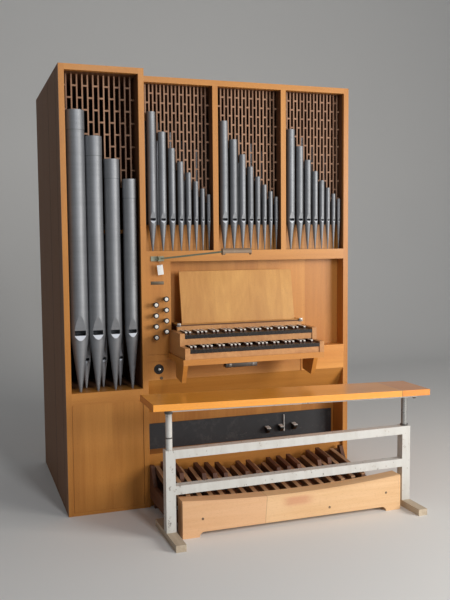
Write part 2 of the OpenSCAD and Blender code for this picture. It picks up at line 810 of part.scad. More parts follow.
// A sharp key over the gap after natural i, with a sloping nose
module sharp_key(i) {
    translate([(i + 1) * key_pitch - sharp_w / 2, 0, 0]) rotate([90, 0, 90]) linear_extrude(sharp_w)
        polygon([[natural_head + sharp_gap, -natural_t], [key_len, -natural_t], [key_len, sharp_rise],
            [natural_head + sharp_gap + sharp_bevel, sharp_rise], [natural_head + sharp_gap, 0]]);
}

module naturals(y, z) {
    color([0.13, 0.1, 0.09]) placed() translate([keys_x, y, z])
        for (i = [0:naturals_n - 1]) natural_key(i);
}

module sharps(y, z) {
    color("wheat") placed() translate([keys_x, y, z])
        for (i = [0:naturals_n - 2]) if (sharp_follows(i)) sharp_key(i);
}

// Cheeks beside each manual, with the slips and rails between them that carry the keys
module key_cheeks() {
    lower_y = -desk_reach;
    upper_y = lower_y + manual_step;
    lower_top = lower_key_z + cheek_rise;
    upper_top = upper_key_z + cheek_rise;
    back = upper_y + key_len;
    color("sienna") placed() {
        for (side = [[keys_x - cheek_w, 0], [keys_right, niche_d]]) {
            board([side[0], lower_y, desk_board_z], [side[0] + cheek_w, side[1], lower_top]);
            board([side[0], upper_y, lower_top], [side[0] + cheek_w, side[1], upper_top]);
        }
        for (y = [lower_y + slip_reach, lower_y + key_len - 2 * slip_t])
            board([keys_x, y, desk_board_z], [keys_right, y + slip_t, lower_key_z - natural_t]);
        for (y = [upper_y + slip_reach, upper_y + key_len - 2 * slip_t])
            board([keys_x, y, lower_key_z + sharp_rise + sharp_gap],
                [keys_right, y + slip_t, upper_key_z - natural_t]);
        board([keys_x, back, desk_board_z], [keys_right, niche_d, upper_key_z - natural_t]);
        board([keys_x, back, upper_key_z - natural_t],
            [keys_right, back + 2 * slip_t, music_z - music_shelf_t]);
    }
}

module keydesk_board() {
    left = keys_x - cheek_w - desk_side;
    right = keys_right + cheek_w;
    low = desk_board_z - desk_board_t;
    color("peru") placed() {
        board([left, -desk_reach, low], [right, 0, desk_board_z]);
        board([jamb_x, 0, low], [right, niche_d, desk_board_z]);
        for (x = [left, right - bracket_inset - bracket_t])
            translate([x, -desk_reach, 0]) rotate([90, 0, 90]) linear_extrude(bracket_t)
                polygon([[0, low], [bracket_slope, bracket_z], [bracket_l, bracket_z + bracket_rise],
                    [bracket_l, low]]);
    }
}

module side_ledge() {
    low = ledge_z - ledge_h;
    left = keys_right + cheek_w + ledge_play;
    color("peru") placed() {
        board([left, -ledge_reach, low], [side_in, niche_d + panel_t, ledge_z]);
        board([left, -ledge_block_reach, knee_z], [side_in, 0, low]);
    }
}

// The board under the keydesk, and the panel that slopes back from its lower edge
module knee_panel() {
    color("peru") placed() {
        board([tower_w, 0, knee_z], [jamb_x, panel_t, switch_panel_z]);
        board([jamb_x, 0, knee_z], [side_in, panel_t, ledge_z - ledge_h]);
        board([jamb_x, 0, ledge_z - ledge_h],
            [keys_right + cheek_w, panel_t, desk_board_z - desk_board_t]);
        translate([tower_w, 0, 0]) rotate([90, 0, 90]) linear_extrude(side_in - tower_w)
            polygon([[0, knee_z], [panel_t, knee_z], [knee_back + panel_t, knee_low_z],
                [knee_back, knee_low_z]]);
    }
}

module lower_panel() {
    color("peru") placed()
        board([tower_w, knee_back, 0], [side_in, knee_back + panel_t, knee_low_z]);
}

module kick_panel() {
    color([0.12, 0.12, 0.13]) placed()
        board([kick_x, knee_d, kick_z], [kick_right_x, knee_back, kick_top_z]);
}

module toe_board() {
    color("burlywood") placed() {
        board([tower_w, toe_setback, toe_rail_z - toe_rail_h], [side_in, knee_back, toe_rail_z]);
        board([tower_w, toe_setback, 0], [side_in, toe_setback + panel_t, toe_rail_z - toe_rail_h]);
    }
}

// Side view of a toe lever's stem, and of the foot plate that lies on its slope
module lever_stem() {
    tip = -lever_reach * lever_slope;
    translate([-lever_stem_w / 2, 0, 0]) rotate([90, 0, 90]) linear_extrude(lever_stem_w)
        polygon([[0, -lever_stem_h], [0, 0], [-lever_reach, tip], [-lever_reach, tip - lever_stem_w / 2],
            [-lever_reach / 2, -lever_stem_h]]);
}

module lever_plate() {
    back = -lever_stem_w / 2;
    translate([-lever_plate_w / 2, 0, 0]) rotate([90, 0, 90]) linear_extrude(lever_plate_w)
        polygon([[back, back * lever_slope], [-lever_reach, -lever_reach * lever_slope],
            [-lever_reach, lever_plate_t - lever_reach * lever_slope],
            [back, lever_plate_t + back * lever_slope]]);
}

module toe_levers() {
    color([0.12, 0.12, 0.13]) placed() for (k = [0:2])
        translate([lever_x + k * lever_pitch, knee_d, lever_z + k * lever_plate_t]) lever_stem();
}

// The plates, and the upright rod beside the middle lever
module toe_plates() {
    rod_x = lever_x + 1.3 * lever_pitch;
    rod_y = knee_d - 3 * rod_r;
    color("silver") placed() {
        for (k = [0:2])
            translate([lever_x + k * lever_pitch, knee_d, lever_z + k * lever_plate_t]) lever_plate();
        translate([rod_x, rod_y, lever_z - lever_stem_h]) cylinder(h = rod_len, r = rod_r, $fn = fine);
        translate([rod_x - rod_r, rod_y, lever_z - lever_stem_h]) cube([2 * rod_r, 3 * rod_r, 2 * rod_r]);
    }
}

// Place of natural pedal i, and of the sharp pedal after it
function pedal_at(i) = pedal_first_x + i * pedal_pitch;

// A natural pedal: a tall narrow plank that rises to its tail
module pedal_natural(x) {
    z = pedal_hollow(x);
    tail = pedal_key_y + pedal_key_len;
    translate([x - pedal_key_w / 2, 0, 0]) rotate([90, 0, 90]) linear_extrude(pedal_key_w)
        polygon([[pedal_key_y, z - pedal_key_h], [tail, z + pedal_rise - pedal_key_h],
            [tail, z + pedal_rise], [pedal_key_y, z]]);
}

// A sharp pedal: a lower plank with a raised block that starts with a sloping nose
module pedal_sharp(x) {
    z = pedal_hollow(x);
    nose = pedal_front_y + pedal_front_t + pedal_sharp_y;
    tail = pedal_key_y + pedal_key_len;
    slope = pedal_rise / pedal_key_len;
    nose_z = z + (nose - pedal_key_y) * slope;
    translate([x - pedal_key_w / 2, 0, 0]) rotate([90, 0, 90]) linear_extrude(pedal_key_w)
        polygon([[pedal_key_y, z - pedal_key_h], [tail, z + pedal_rise - pedal_key_h],
            [tail, z + pedal_rise + pedal_sharp_rise],
            [nose + pedal_nose, nose_z + pedal_nose * slope + pedal_sharp_rise], [nose, nose_z],
            [nose, nose_z - pedal_key_h / 2], [pedal_key_y, z - pedal_key_h / 2]]);
}

module pedal_naturals() {
    color([0.25, 0.15, 0.1]) placed() for (i = [0:pedal_naturals_n - 1]) pedal_natural(pedal_at(i));
}

module pedal_sharps() {
    color([0.3, 0.18, 0.1]) placed()
        for (i = [0:pedal_naturals_n - 2]) if (sharp_follows(i)) pedal_sharp(pedal_at(i + 0.5));
}

// Front board: hollow and bevelled top edge, and a long cut-out with coved ends between its feet
module pedal_front() {
    curve_z = pedal_end_h - pedal_dip + pedal_radius;
    cove = pedal_foot_l + pedal_foot_h;
    color("navajowhite") placed() difference() {
        translate([0, pedal_front_y + pedal_front_t, 0]) rotate([90, 0, 0])
            linear_extrude(pedal_front_t) difference() {
                translate([pedal_x, 0]) square([pedal_w, pedal_end_h]);
                translate([pedal_mid, curve_z]) circle(r = pedal_radius, $fn = 720);
                translate([pedal_x + cove, -over]) square([pedal_w - 2 * cove, pedal_foot_h + over]);
                for (x = [pedal_x + cove, pedal_x + pedal_w - cove])
                    translate([x, 0]) circle(r = pedal_foot_h, $fn = fine);
            }
        translate([pedal_mid, pedal_front_y - pedal_bevel, curve_z]) rotate([-90, 0, 0])
            cylinder(h = 2 * pedal_bevel, r1 = pedal_radius + 2 * pedal_bevel, r2 = pedal_radius, $fn = 720);
    }
}

// Sides with raised rear ends, and two cross rails; the rear one is hollow along its top
module pedal_frame() {
    y0 = pedal_front_y + pedal_front_t;
    horn_z = pedal_hollow(pedal_inner_l) + pedal_rise;
    color([0.28, 0.17, 0.12]) placed() {
        for (x = [pedal_inner_l - pedal_side_t, pedal_inner_r])
            translate([x, 0, 0]) rotate([90, 0, 90]) linear_extrude(pedal_side_t)
                polygon([[y0, pedal_side_z], [pedal_back_y, pedal_side_z], [pedal_back_y, horn_z],
                    [pedal_back_y - pedal_horn, horn_z], [pedal_back_y - 3 * pedal_horn, pedal_side_front],
                    [y0, pedal_side_front]]);
        board([pedal_inner_l, y0, pedal_side_z],
            [pedal_inner_r, y0 + pedal_side_t, pedal_side_z + pedal_rail_h]);
        translate([0, pedal_back_y, 0]) rotate([90, 0, 0]) linear_extrude(pedal_side_t) difference() {
            translate([pedal_inner_l, 0]) square([pedal_inner_r - pedal_inner_l, horn_z]);
            translate([pedal_keys_mid, pedal_front_z + pedal_rise - pedal_key_h / 2 + pedal_hollow_r])
                circle(r = pedal_hollow_r, $fn = 720);
        }
    }
}

// Everything of the bench is built about its own centre and turned together
module at_bench() {
    placed() translate([bench_x, -bench_y, 0]) rotate([0, 0, bench_turn]) children();
}

// The seat and its tubes are tilted together, about the middle of the seat's top
module at_seat() {
    at_bench() translate([0, 0, seat_z]) rotate([0, seat_tilt, 0]) children();
}

module bench_seat() {
    color("chocolate") at_seat()
        translate([-post_span / 2 - seat_over - seat_left, -seat_d / 2, -seat_t])
            cube([seat_l, seat_d, seat_t]);
}

// A square tube that stands on z
module square_tube(w, z0, z1, wall) {
    translate([0, 0, z0]) linear_extrude(z1 - z0) difference() {
        square(w, center = true);
        square(w - 2 * wall, center = true);
    }
}

// Inner posts, each ending inside its cross tube, and the ring of tubes under the seat
module bench_top_frame() {
    pocket = post_top - rail_h;
    color("gainsboro") {
        at_bench() for (x = [-post_span / 2, post_span / 2]) {
            top = seat_z - x * tan(seat_tilt) - seat_t - seat_tube / 2;
            translate([x, 0, pocket]) cylinder(h = top - pocket, r = inner_post_r, $fn = fine);
        }
        at_seat() translate([0, 0, -seat_t - seat_tube]) {
            for (x = [-post_span / 2, post_span / 2])
                translate([x - seat_tube, -seat_tube_span / 2, 0])
                    cube([2 * seat_tube, seat_tube_span, seat_tube]);
            for (y = [-seat_tube_span / 2 - seat_tube, seat_tube_span / 2])
                translate([-post_span / 2 - seat_tube, y, 0])
                    cube([post_span + 2 * seat_tube, seat_tube, seat_tube]);
        }
    }
}

// Outer posts with a bush in each top, and the two rails between them
module bench_frame() {
    color("lightgray") at_bench() {
        for (x = [-post_span / 2, post_span / 2]) translate([x, 0, 0]) {
            square_tube(post_w, foot_h, post_top - bush_h, post_wall);
            translate([0, 0, post_top - bush_h]) linear_extrude(bush_h) difference() {
                square(post_w, center = true);
                circle(r = inner_post_r + bush_gap, $fn = fine);
            }
        }
        for (top = [post_top, rail_low_z])
            translate([-(post_span - post_w) / 2, -post_w / 2, top - rail_h])
                cube([post_span - post_w, rail_t, rail_h]);
    }
}

module bench_feet() {
    color("tan") at_bench() for (x = [-post_span / 2, post_span / 2])
        translate([x - foot_w / 2, -foot_l / 2, 0]) cube([foot_w, foot_l, foot_h]);
}

module blower_switch() {
    color([0.1, 0.1, 0.1]) placed() translate([switch_x, 0, switch_z]) rotate([90, 0, 0])
        rotate_extrude($fn = fine)
            polygon([[0, 0], [switch_r, 0], [switch_r, switch_reach / 3],
                [switch_r - switch_bevel, switch_reach / 2],
                [switch_r / 2, switch_reach / 2], [switch_r / 2, switch_reach], [0, switch_reach]]);
}

// A draw stop about its own axis: knob with ring, white face and neck, stem, and catch behind the jamb
module draw_stop(i) {
    stem_y = jamb_t + stop_travel + stop_rest;
    color([0.1, 0.1, 0.1]) placed() translate([stop_at(i)[0], 0, stop_at(i)[1]]) rotate([90, 0, 0])
        rotate_extrude($fn = fine)
            polygon([[0, -stem_y - stop_catch], [stem_r + stop_catch, -stem_y - stop_catch],
                [stem_r + stop_catch, -stem_y], [stem_r, -stem_y], [stem_r, stop_rest],
                [stop_r - stop_neck_in, stop_rest], [stop_r - stop_neck_in, stop_reach - stop_head],
                [stop_r, stop_reach - stop_face_rise - stop_rim], [stop_r, stop_reach - stop_face_rise],
                [stop_face_r, stop_reach - stop_face_rise], [stop_face_r, stop_reach], [0, stop_reach]]);
}

// Block on the impost rail with two ears that hold the pin of the arm
module lamp_bracket() {
    ear_t = (lamp_bracket_h - 4 * lamp_pin_r) / 2;
    low = lamp_z - lamp_bracket_h / 2;
    color("darkseagreen") placed() {
        board([lamp_x - lamp_bracket_w * 0.6, -lamp_plate_t, low],
            [lamp_x + lamp_bracket_w * 0.4, 0, low + lamp_bracket_h]);
        for (z = [low, low + lamp_bracket_h - ear_t])
            board([lamp_x - lamp_ear_w / 2, -lamp_pivot_y - 2 * lamp_eye_wall, z],
                [lamp_x + lamp_ear_w / 2, -lamp_plate_t, z + ear_t]);
        translate([lamp_x, -lamp_pivot_y, low]) cylinder(h = lamp_bracket_h, r = lamp_pin_r, $fn = fine);
    }
}

// Arm with an eye round the bracket's pin
module lamp_arm() {
    eye_h = 4 * lamp_pin_r - 3 * lamp_pin_gap;
    color("darkseagreen") placed() translate([lamp_x, -lamp_pivot_y, lamp_z]) {
        difference() {
            union() {
                translate([0, 0, -eye_h / 2]) cylinder(h = eye_h, r = lamp_pin_r + lamp_eye_wall, $fn = fine);
                arm_rod(lamp_arm_r);
            }
            translate([0, 0, -eye_h]) cylinder(h = 2 * eye_h, r = lamp_pin_r + lamp_pin_gap, $fn = fine);
        }
    }
}

// The arm's rod from the pivot to the shade
module arm_rod(r) {
    rotate([0, 0, arm_turn]) rotate([0, 90 - arm_tilt, 0]) cylinder(h = arm_len, r = r, $fn = fine);
}

// Tubular shade, open underneath, with a socket for the arm in its solid near end
module lamp_shade() {
    color("saddlebrown") placed() translate([lamp_x, -lamp_pivot_y, lamp_z]) difference() {
        translate([lamp_arm_x - lamp_arm_r, -lamp_arm_y, lamp_arm_rise]) rotate([0, 90, 0]) difference() {
            cylinder(h = shade_len, r = shade_r, $fn = fine);
            translate([0, 0, socket_depth])
                cylinder(h = shade_len - socket_depth - lamp_arm_r, r = shade_r - shade_wall, $fn = fine);
            translate([shade_r / 2, -shade_r, socket_depth])
                cube([shade_r, 2 * shade_r, shade_len - socket_depth - lamp_arm_r]);
        }
        arm_rod(lamp_arm_r + lamp_pin_gap);
    }
}

tower_sides();
top_boards();
floor_boards();
back_boards();
case_side();
mullions();
tower_chest();
tower_door();
bay_shelf();
pipe_supports();
tower_grille();
bay_grille(0);  // bay_grille_1
bay_grille(1);  // bay_grille_2
bay_grille(2);  // bay_grille_3
tower_pipes();
tower_rear_pipes();
bay_pipes(0);  // bay_pipes_1
bay_pipes(1);  // bay_pipes_2
bay_pipes(2);  // bay_pipes_3
inner_pipes();
stop_jamb();
console_back();
music_desk();
naturals(manual_step - desk_reach, upper_key_z);  // upper_naturals
sharps(manual_step - desk_reach, upper_key_z);  // upper_sharps
naturals(-desk_reach, lower_key_z);  // lower_naturals
sharps(-desk_reach, lower_key_z);  // lower_sharps
key_cheeks();
keydesk_board();
side_ledge();
knee_panel();
lower_panel();
kick_panel();
toe_board();
toe_levers();
toe_plates();
pedal_naturals();
pedal_sharps();
pedal_front();
pedal_frame();
bench_seat();
bench_top_frame();
bench_frame();
bench_feet();
blower_switch();
lamp_bracket();
lamp_arm();
lamp_shade();
draw_stop(0);  // stop_1
draw_stop(1);  // stop_2
draw_stop(2);  // stop_3
draw_stop(3);  // stop_4
draw_stop(4);  // stop_5
draw_stop(5);  // stop_6
draw_stop(6);  // stop_7
draw_stop(7);  // stop_8
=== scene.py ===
"""A small two-manual pipe organ with its pedalboard and bench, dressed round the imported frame."""

import math

import bmesh
import bpy
from mathutils import Matrix, Vector


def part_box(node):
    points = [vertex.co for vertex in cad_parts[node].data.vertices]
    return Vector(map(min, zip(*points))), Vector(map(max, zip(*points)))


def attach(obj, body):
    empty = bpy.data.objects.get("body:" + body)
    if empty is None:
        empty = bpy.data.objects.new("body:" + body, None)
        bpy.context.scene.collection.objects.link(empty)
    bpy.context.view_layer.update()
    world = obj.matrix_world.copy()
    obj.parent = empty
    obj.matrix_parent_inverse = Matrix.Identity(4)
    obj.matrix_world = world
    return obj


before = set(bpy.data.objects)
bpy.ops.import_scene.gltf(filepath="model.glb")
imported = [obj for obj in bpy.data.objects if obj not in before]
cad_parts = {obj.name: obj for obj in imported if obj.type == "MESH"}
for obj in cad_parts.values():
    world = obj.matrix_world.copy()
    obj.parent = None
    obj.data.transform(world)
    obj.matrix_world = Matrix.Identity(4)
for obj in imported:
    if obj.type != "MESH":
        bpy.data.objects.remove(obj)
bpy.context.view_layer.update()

bl_info = {
    "name": "Chest Organ Dressing",
    "version": (1, 0, 0),
    "blender": (4, 5, 0),
    "location": "View3D > Sidebar > Organ",
    "description": "Finishes, fittings and a studio stage for a small pipe organ",
    "category": "Object",
}

AXES = "XYZ"
STOPS = range(1, 9)
BAYS = ("bay_pipes_1", "bay_pipes_2", "bay_pipes_3")

# All places and sizes are in metres, in the row frame.
# Front plane of the case, and the undersides of the boards over the tower and over the bays
CASE_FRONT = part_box("case_side")[0][1]
TOWER_UNDER, CASE_UNDER = 2.474, 2.433
# Distances of the two grooves in the tower's left side from the front
SIDE_GROOVES = (0.135, 0.486)
# Pitch of the tower's pipes from their left edge
PIPES_FROM, PIPE_PITCH = -0.8363, 0.0996
# Height of the seam under each sleeve of the tower's pipes: a base and a reach that shrinks by a ratio
SEAM_BASE, SEAM_REACH, SEAM_RATIO = 0.914, 1.242, 0.889
# Lower lips of a row of pipes: height over the feet, depth of the axes, largest radius, taper
TOWER_LIPS = (0.324, 0.050, 0.0515, 0.905)
BAY_LIPS = (0.174, 0.035, 0.0250, 0.888)
BAY_PIPES = 8
# Depth of a lip's upper edge as a share of the radius, its slope and the colour of the highlight painted on
# the lips
LIP_INSET, LIP_SLOPE = 0.7846, 0.2564
LIP_HIGHLIGHT = (0.520, 0.540, 0.580)
# The pedalboard's middle, the radius of its hollow, the fronts of its pedals (y, z) and their slope
PEDAL_MID, PEDAL_RADIUS, PEDAL_FRONT, PEDAL_SLOPE = 0.20695, 3.4, (-1.0235, 0.160), 0.1054
# The leaning joint in its front board: x at the floor, and lean
PEDAL_JOINT = (0.0955, 0.083)
# Screws in the front board (x, z), and in the kick panel: heights, and distance from its right end
PEDAL_SCREWS = ((-0.2551, 0.0960), (0.4811, 0.0665), (0.8378, 0.1070))
KICK_SCREWS, KICK_SCREW_INSET = (0.419, 0.438), 0.071


# Properties


def maker(kind, **fixed):
    """Makes properties of one sort, each with its own name, description and value."""

    def make(name, description, value):
        return kind(name=name, description=description, default=value, **fixed)

    return make


# Colours, lengths and places in metres, shares between nothing and all, and plain numbers
colour = maker(bpy.props.FloatVectorProperty, subtype="COLOR", size=3, min=0.0, max=1.0)
place_of = maker(bpy.props.FloatVectorProperty, subtype="TRANSLATION", size=3)
length = maker(bpy.props.FloatProperty, min=0.0, unit="LENGTH", precision=4)
share = maker(bpy.props.FloatProperty, min=0.0, max=1.0, subtype="FACTOR")
amount = maker(bpy.props.FloatProperty, min=0.0)


class OrganWoods(bpy.types.PropertyGroup):
    """Woods of the case, the console, the pedalboard and the bench."""

    case_light: colour("Case, light", "Early wood of the oiled case", (0.600, 0.262, 0.054))
    case_dark: colour("Case, dark", "Late wood of the oiled case", (0.455, 0.172, 0.029))
    desk_light: colour("Desk, light", "Early wood of the music desk", (0.615, 0.308, 0.074))
    desk_dark: colour("Desk, dark", "Late wood of the music desk", (0.480, 0.212, 0.042))
    grille_light: colour("Grille, light", "Light side of the grille's slats", (0.400, 0.225, 0.135))
    grille_dark: colour("Grille, dark", "Dark side of the grille's slats", (0.240, 0.122, 0.070))
    # Painted shade: the near-black tint of the back boards' inner face
    back_dark: colour("Back, dark", "Inner face of the back boards", (0.032, 0.018, 0.011))
    cheek_light: colour("Cheeks, light", "Light side of the key cheeks", (0.600, 0.300, 0.110))
    cheek_dark: colour("Cheeks, dark", "Dark side of the key cheeks", (0.420, 0.180, 0.060))
    # The pedal tops are lightened partly by wear and partly as painted light
    pedal_light: colour("Pedals, light", "Worn tops of the pedals", (0.500, 0.310, 0.175))
    pedal_dark: colour("Pedals, dark", "Stained sides of the pedals", (0.085, 0.030, 0.016))
    front_light: colour("Pedal front, light", "Light side of the pedalboard's front", (0.830, 0.560, 0.320))
    front_dark: colour("Pedal front, dark", "Dark side of the pedalboard's front", (0.680, 0.400, 0.190))
    seat_light: colour("Seat, light", "Light side of the varnished seat", (0.980, 0.420, 0.060))
    seat_dark: colour("Seat, dark", "Dark side of the varnished seat", (0.790, 0.290, 0.030))
    foot_light: colour("Feet, light", "Light side of the bench feet", (0.640, 0.540, 0.410))
    foot_dark: colour("Feet, dark", "Dark side of the bench feet", (0.360, 0.280, 0.195))
    leaf: length("Veneer leaf", "Width of a leaf of veneer", 0.155)
    # Painted shade: a dark tint laid on inner faces, undersides and other places where shade falls
    shaded: colour("Inner faces", "Stained inner faces of the case", (0.140, 0.058, 0.024))
    pedal_sharp: colour("Pedal sharps", "Light side of the pedal sharps", (0.165, 0.070, 0.038))
    pedal_frame: colour("Pedal frame", "Light side of the pedalboard's frame", (0.130, 0.056, 0.030))
    front_stain: colour("Pedal front, stain", "Reddish stain on the front board", (0.560, 0.230, 0.130))
    seat_end: colour("Seat ends", "Red end grain of the seat", (0.280, 0.050, 0.016))
    seat_line: colour("Seat joint", "Dark joint of the seat's end board", (0.090, 0.030, 0.012))
    seat_joint: length("Seat joint at", "Where the seat's right end board starts", 0.893)


class OrganMetals(bpy.types.PropertyGroup):
    """Pipe metal, paint, chrome and the small dark fittings."""

    pipe_light: colour("Pipe, light", "Clean zinc", (0.300, 0.312, 0.332))
    pipe_dark: colour("Pipe, dark", "Dulled zinc", (0.150, 0.155, 0.165))
    paint: colour("Frame paint", "Paint of the bench frame", (0.640, 0.632, 0.600))
    bare: colour("Bare steel", "Steel where the paint is gone", (0.300, 0.290, 0.275))
    chrome: colour("Chrome", "Inner posts of the bench", (0.420, 0.420, 0.410))
    lever: colour("Toe levers", "Plates of the toe levers", (0.820, 0.820, 0.805))
    lamp_green: colour("Lamp bracket", "Dull green enamel", (0.300, 0.315, 0.215))
    lamp_brown: colour("Lamp shade", "Brown enamel of the shade", (0.270, 0.185, 0.120))
    iron: colour("Dark iron", "Screws and the handle", (0.085, 0.075, 0.068))
    silver: colour("Silver", "The tag's loop and the switch's centre", (0.460, 0.460, 0.455))
    clip: colour("Clips", "Clips of the music desk", (0.260, 0.240, 0.225))
    stay: colour("Stays", "Stays of the keydesk's handle", (0.170, 0.160, 0.150))
    brass: colour("Dull brass", "The bare plate and the keyhole", (0.120, 0.092, 0.060))


class OrganFittings(bpy.types.PropertyGroup):
    """Places and sizes of the small fittings, in the row frame."""

    black: colour("Black plastic", "Stops, switch and naturals", (0.014, 0.013, 0.013))
    bone: colour("Bone", "Faces of the stops and tops of the sharps", (0.800, 0.770, 0.710))
    card: colour("Card", "The hanging tag", (0.860, 0.855, 0.830))
    kick: colour("Kick panel", "Charcoal board behind the pedals", (0.030, 0.032, 0.036))
    sharp_wood: colour("Sharps", "Stained wood of the sharps", (0.130, 0.046, 0.026))
    face_share: share("Stop face", "Radius of the pale face beside the knob's", 0.63)
    face_rise: length("Face rise", "How far the pale face stands proud", 0.0012)
    tag_size: place_of("Tag size", "Width, thickness and height of the tag", (0.034, 0.0008, 0.056))
    tag_at: place_of("Tag", "Middle of the tag", (-0.3340, -0.6150, 1.3815))
    clip_size: place_of("Clip size", "Width, depth and height of a desk clip", (0.030, 0.014, 0.018))
    handle_at: place_of("Handle", "Middle of the handle under the keydesk", (0.0510, -0.8720, 0.8570))
    handle_size: place_of("Handle size", "Width, depth and height of the handle", (0.188, 0.040, 0.0240))
    plate_at: place_of("Plate", "Middle of the bare plate", (-0.3445, CASE_FRONT - 0.0010, 1.3055))
    plate_size: place_of("Plate size", "Width, thickness and height of the plate", (0.076, 0.0030, 0.019))
    keyhole_at: place_of("Keyhole", "Middle of the keyhole", (-0.3286, CASE_FRONT, 0.7550))
    screw_radius: length("Screw", "Radius of a screw's head", 0.0065)
    posts_at: place_of("Bench posts", "The middle between the posts, on the floor", (0.2855, -1.0625, 0.0))
    posts_half: length("Half span", "Distance of each post from their middle", 0.7055)
    posts_turn: amount("Bench turn", "Degrees that the bench is turned to the left", 0.75)
    post_radius: length("Post", "Radius of a post", 0.0175)


class OrganStage(bpy.types.PropertyGroup):
    """The floor, the lights and the camera."""

    camera_at: place_of("Camera", "Where the camera stands", (-1.4318, -4.8675, 1.5510))
    yaw: amount("Yaw", "Degrees that the camera looks to the right", 19.2423)
    pitch: amount("Pitch", "Degrees that the camera looks down", 4.4930)
    tilt: amount("Tilt", "Degrees that the camera leans", 0.4891)
    lens: amount("Lens", "Focal length in mm on a 36 mm high frame", 46.289)
    floor: colour("Floor", "Pale floor and backdrop", (0.780, 0.775, 0.760))
    sky: colour("Sky", "Soft light from all sides", (0.930, 0.960, 1.000))
    sky_power: amount("Sky power", "Strength of the light from all sides", 0.20)
    key_at: place_of("Key light", "Where the key light stands", (3.8, -4.7, 2.0))
    key_aim: place_of("Key aim", "Where the key light points", (0.45, -0.6, 0.7))
    key_tint: colour("Key tint", "Colour of the key light", (1.0, 0.965, 0.91))
    key_power: amount("Key power", "Watts of the large light on the right", 235.0)
    front_at: place_of("Front light", "Where the tall light stands", (0.4, -6.2, 3.4))
    front_aim: place_of("Front aim", "Where the tall light points", (-0.3, -0.4, 1.4))
    front_tint: colour("Front tint", "Colour of the tall light", (0.95, 0.97, 1.0))
    front_power: amount("Front power", "Watts of the tall light in front", 96.0)


# Shader maths


class Value:
    """A socket of a finish. Its operators add Math nodes."""

    def __init__(self, finish, socket):
        self.finish = finish
        self.socket = socket

    def math(self, operation, *others):
        """A Math node on this value and the others, in their order."""
        return self.finish.math(operation, self, *others)

    def __add__(self, other):
        return self.math("ADD", other)

    __radd__ = __add__

    def __sub__(self, other):
        return self.math("SUBTRACT", other)

    def __rsub__(self, other):
        return self.finish.math("SUBTRACT", other, self)

    def __mul__(self, other):
        return self.math("MULTIPLY", other)

    __rmul__ = __mul__

    def __truediv__(self, other):
        return self.math("DIVIDE", other)

    def __rpow__(self, other):
        return self.finish.math("POWER", other, self)

    def step(self, low, high):
        """0 below low, 1 above high, and a soft step between them."""
        return self.finish.node(
            "ShaderNodeMapRange", {"interpolation_type": "SMOOTHSTEP"},
            {"Value": self, "From Min": low, "From Max": high})

    def clamped(self):
        """The value held between 0 and 1."""
        return self.finish.node("ShaderNodeClamp", {}, {"Value": self})


class Finish:
    """One procedural material round a Principled shader."""

    def __init__(self, name, fixed=None):
        self.material = bpy.data.materials.new(name)
        self.material.use_nodes = True
        self.tree = self.material.node_tree
        self.shader = self.tree.nodes["Principled BSDF"]
        self.normal = None
        for socket, value in (fixed or {}).items():
            self.shader.inputs[socket].default_value = value
        self.place = self.node("ShaderNodeTexCoord", {}, {}, "Object")
        self.split = self.node("ShaderNodeSeparateXYZ", {}, {"Vector": self.place}).socket.node

    def node(self, kind, settings, links, output=0):
        """Any node: its settings first, then its sockets' values or links."""
        made = self.tree.nodes.new(kind)
        for key, value in settings.items():
            setattr(made, key, value)
        for key, value in links.items():
            socket = made.inputs[key]
            if isinstance(value, Value):
                self.tree.links.new(value.socket, socket)
            elif socket.type == "RGBA":
                socket.default_value = (*value[:3], 1.0)
            else:
                socket.default_value = value
        return Value(self, made.outputs[output])

    def math(self, operation, *values):
        """A Math node."""
        return self.node("ShaderNodeMath", {"operation": operation}, dict(enumerate(values)))

    def axis(self, letter):
        """One Object coordinate, in metres."""
        return Value(self, self.split.outputs[AXES.index(letter)])

    def noise(self, scale, detail, rough=0.5, warp=0.0, shift=None):
        """A noise value round 0.5, stretched by one scale or one for each axis, and shifted by a value."""
        vector = self.place
        if shift is not None:
            vector = self.node("ShaderNodeVectorMath", {"operation": "ADD"}, {0: vector, 1: shift})
        stretch = scale if isinstance(scale, tuple) else (scale,) * 3
        vector = self.node("ShaderNodeMapping", {}, {"Vector": vector, "Scale": stretch})
        links = {"Vector": vector, "Scale": 1.0, "Detail": detail, "Roughness": rough, "Distortion": warp}
        return self.node("ShaderNodeTexNoise", {}, links)

    def mix(self, factor, first, second):
        """A colour between two."""
        return self.node("ShaderNodeMix", {"data_type": "RGBA"}, {0: factor, 6: first, 7: second}, 2)

    def feed(self, socket, value):
        """Links a varying value into the shader."""
        self.tree.links.new(value.socket, self.shader.inputs[socket])

    def bump(self, height, distance, strength):
        """Adds a layer of relief, with the real height in metres."""
        links = {"Height": height, "Distance": distance, "Strength": strength}
        if self.normal is not None:
            links["Normal"] = self.normal
        self.normal = self.node("ShaderNodeBump", {}, links)
        self.feed("Normal", self.normal)

    def done(self, base, roughness, height, distance, strength=0.5):
        """Feeds the colour, the roughness and the last relief, and gives the material."""
        self.feed("Base Color", base)
        self.feed("Roughness", roughness)
        self.bump(height, distance, strength)
        return self.material


def dim(tint, factor):
    """A colour made darker."""
    return tuple(channel * factor for channel in tint)


def grain_scale(grain, across, along):
    """A scale that draws a pattern out along one axis."""
    return tuple(along if letter == grain else across for letter in AXES)


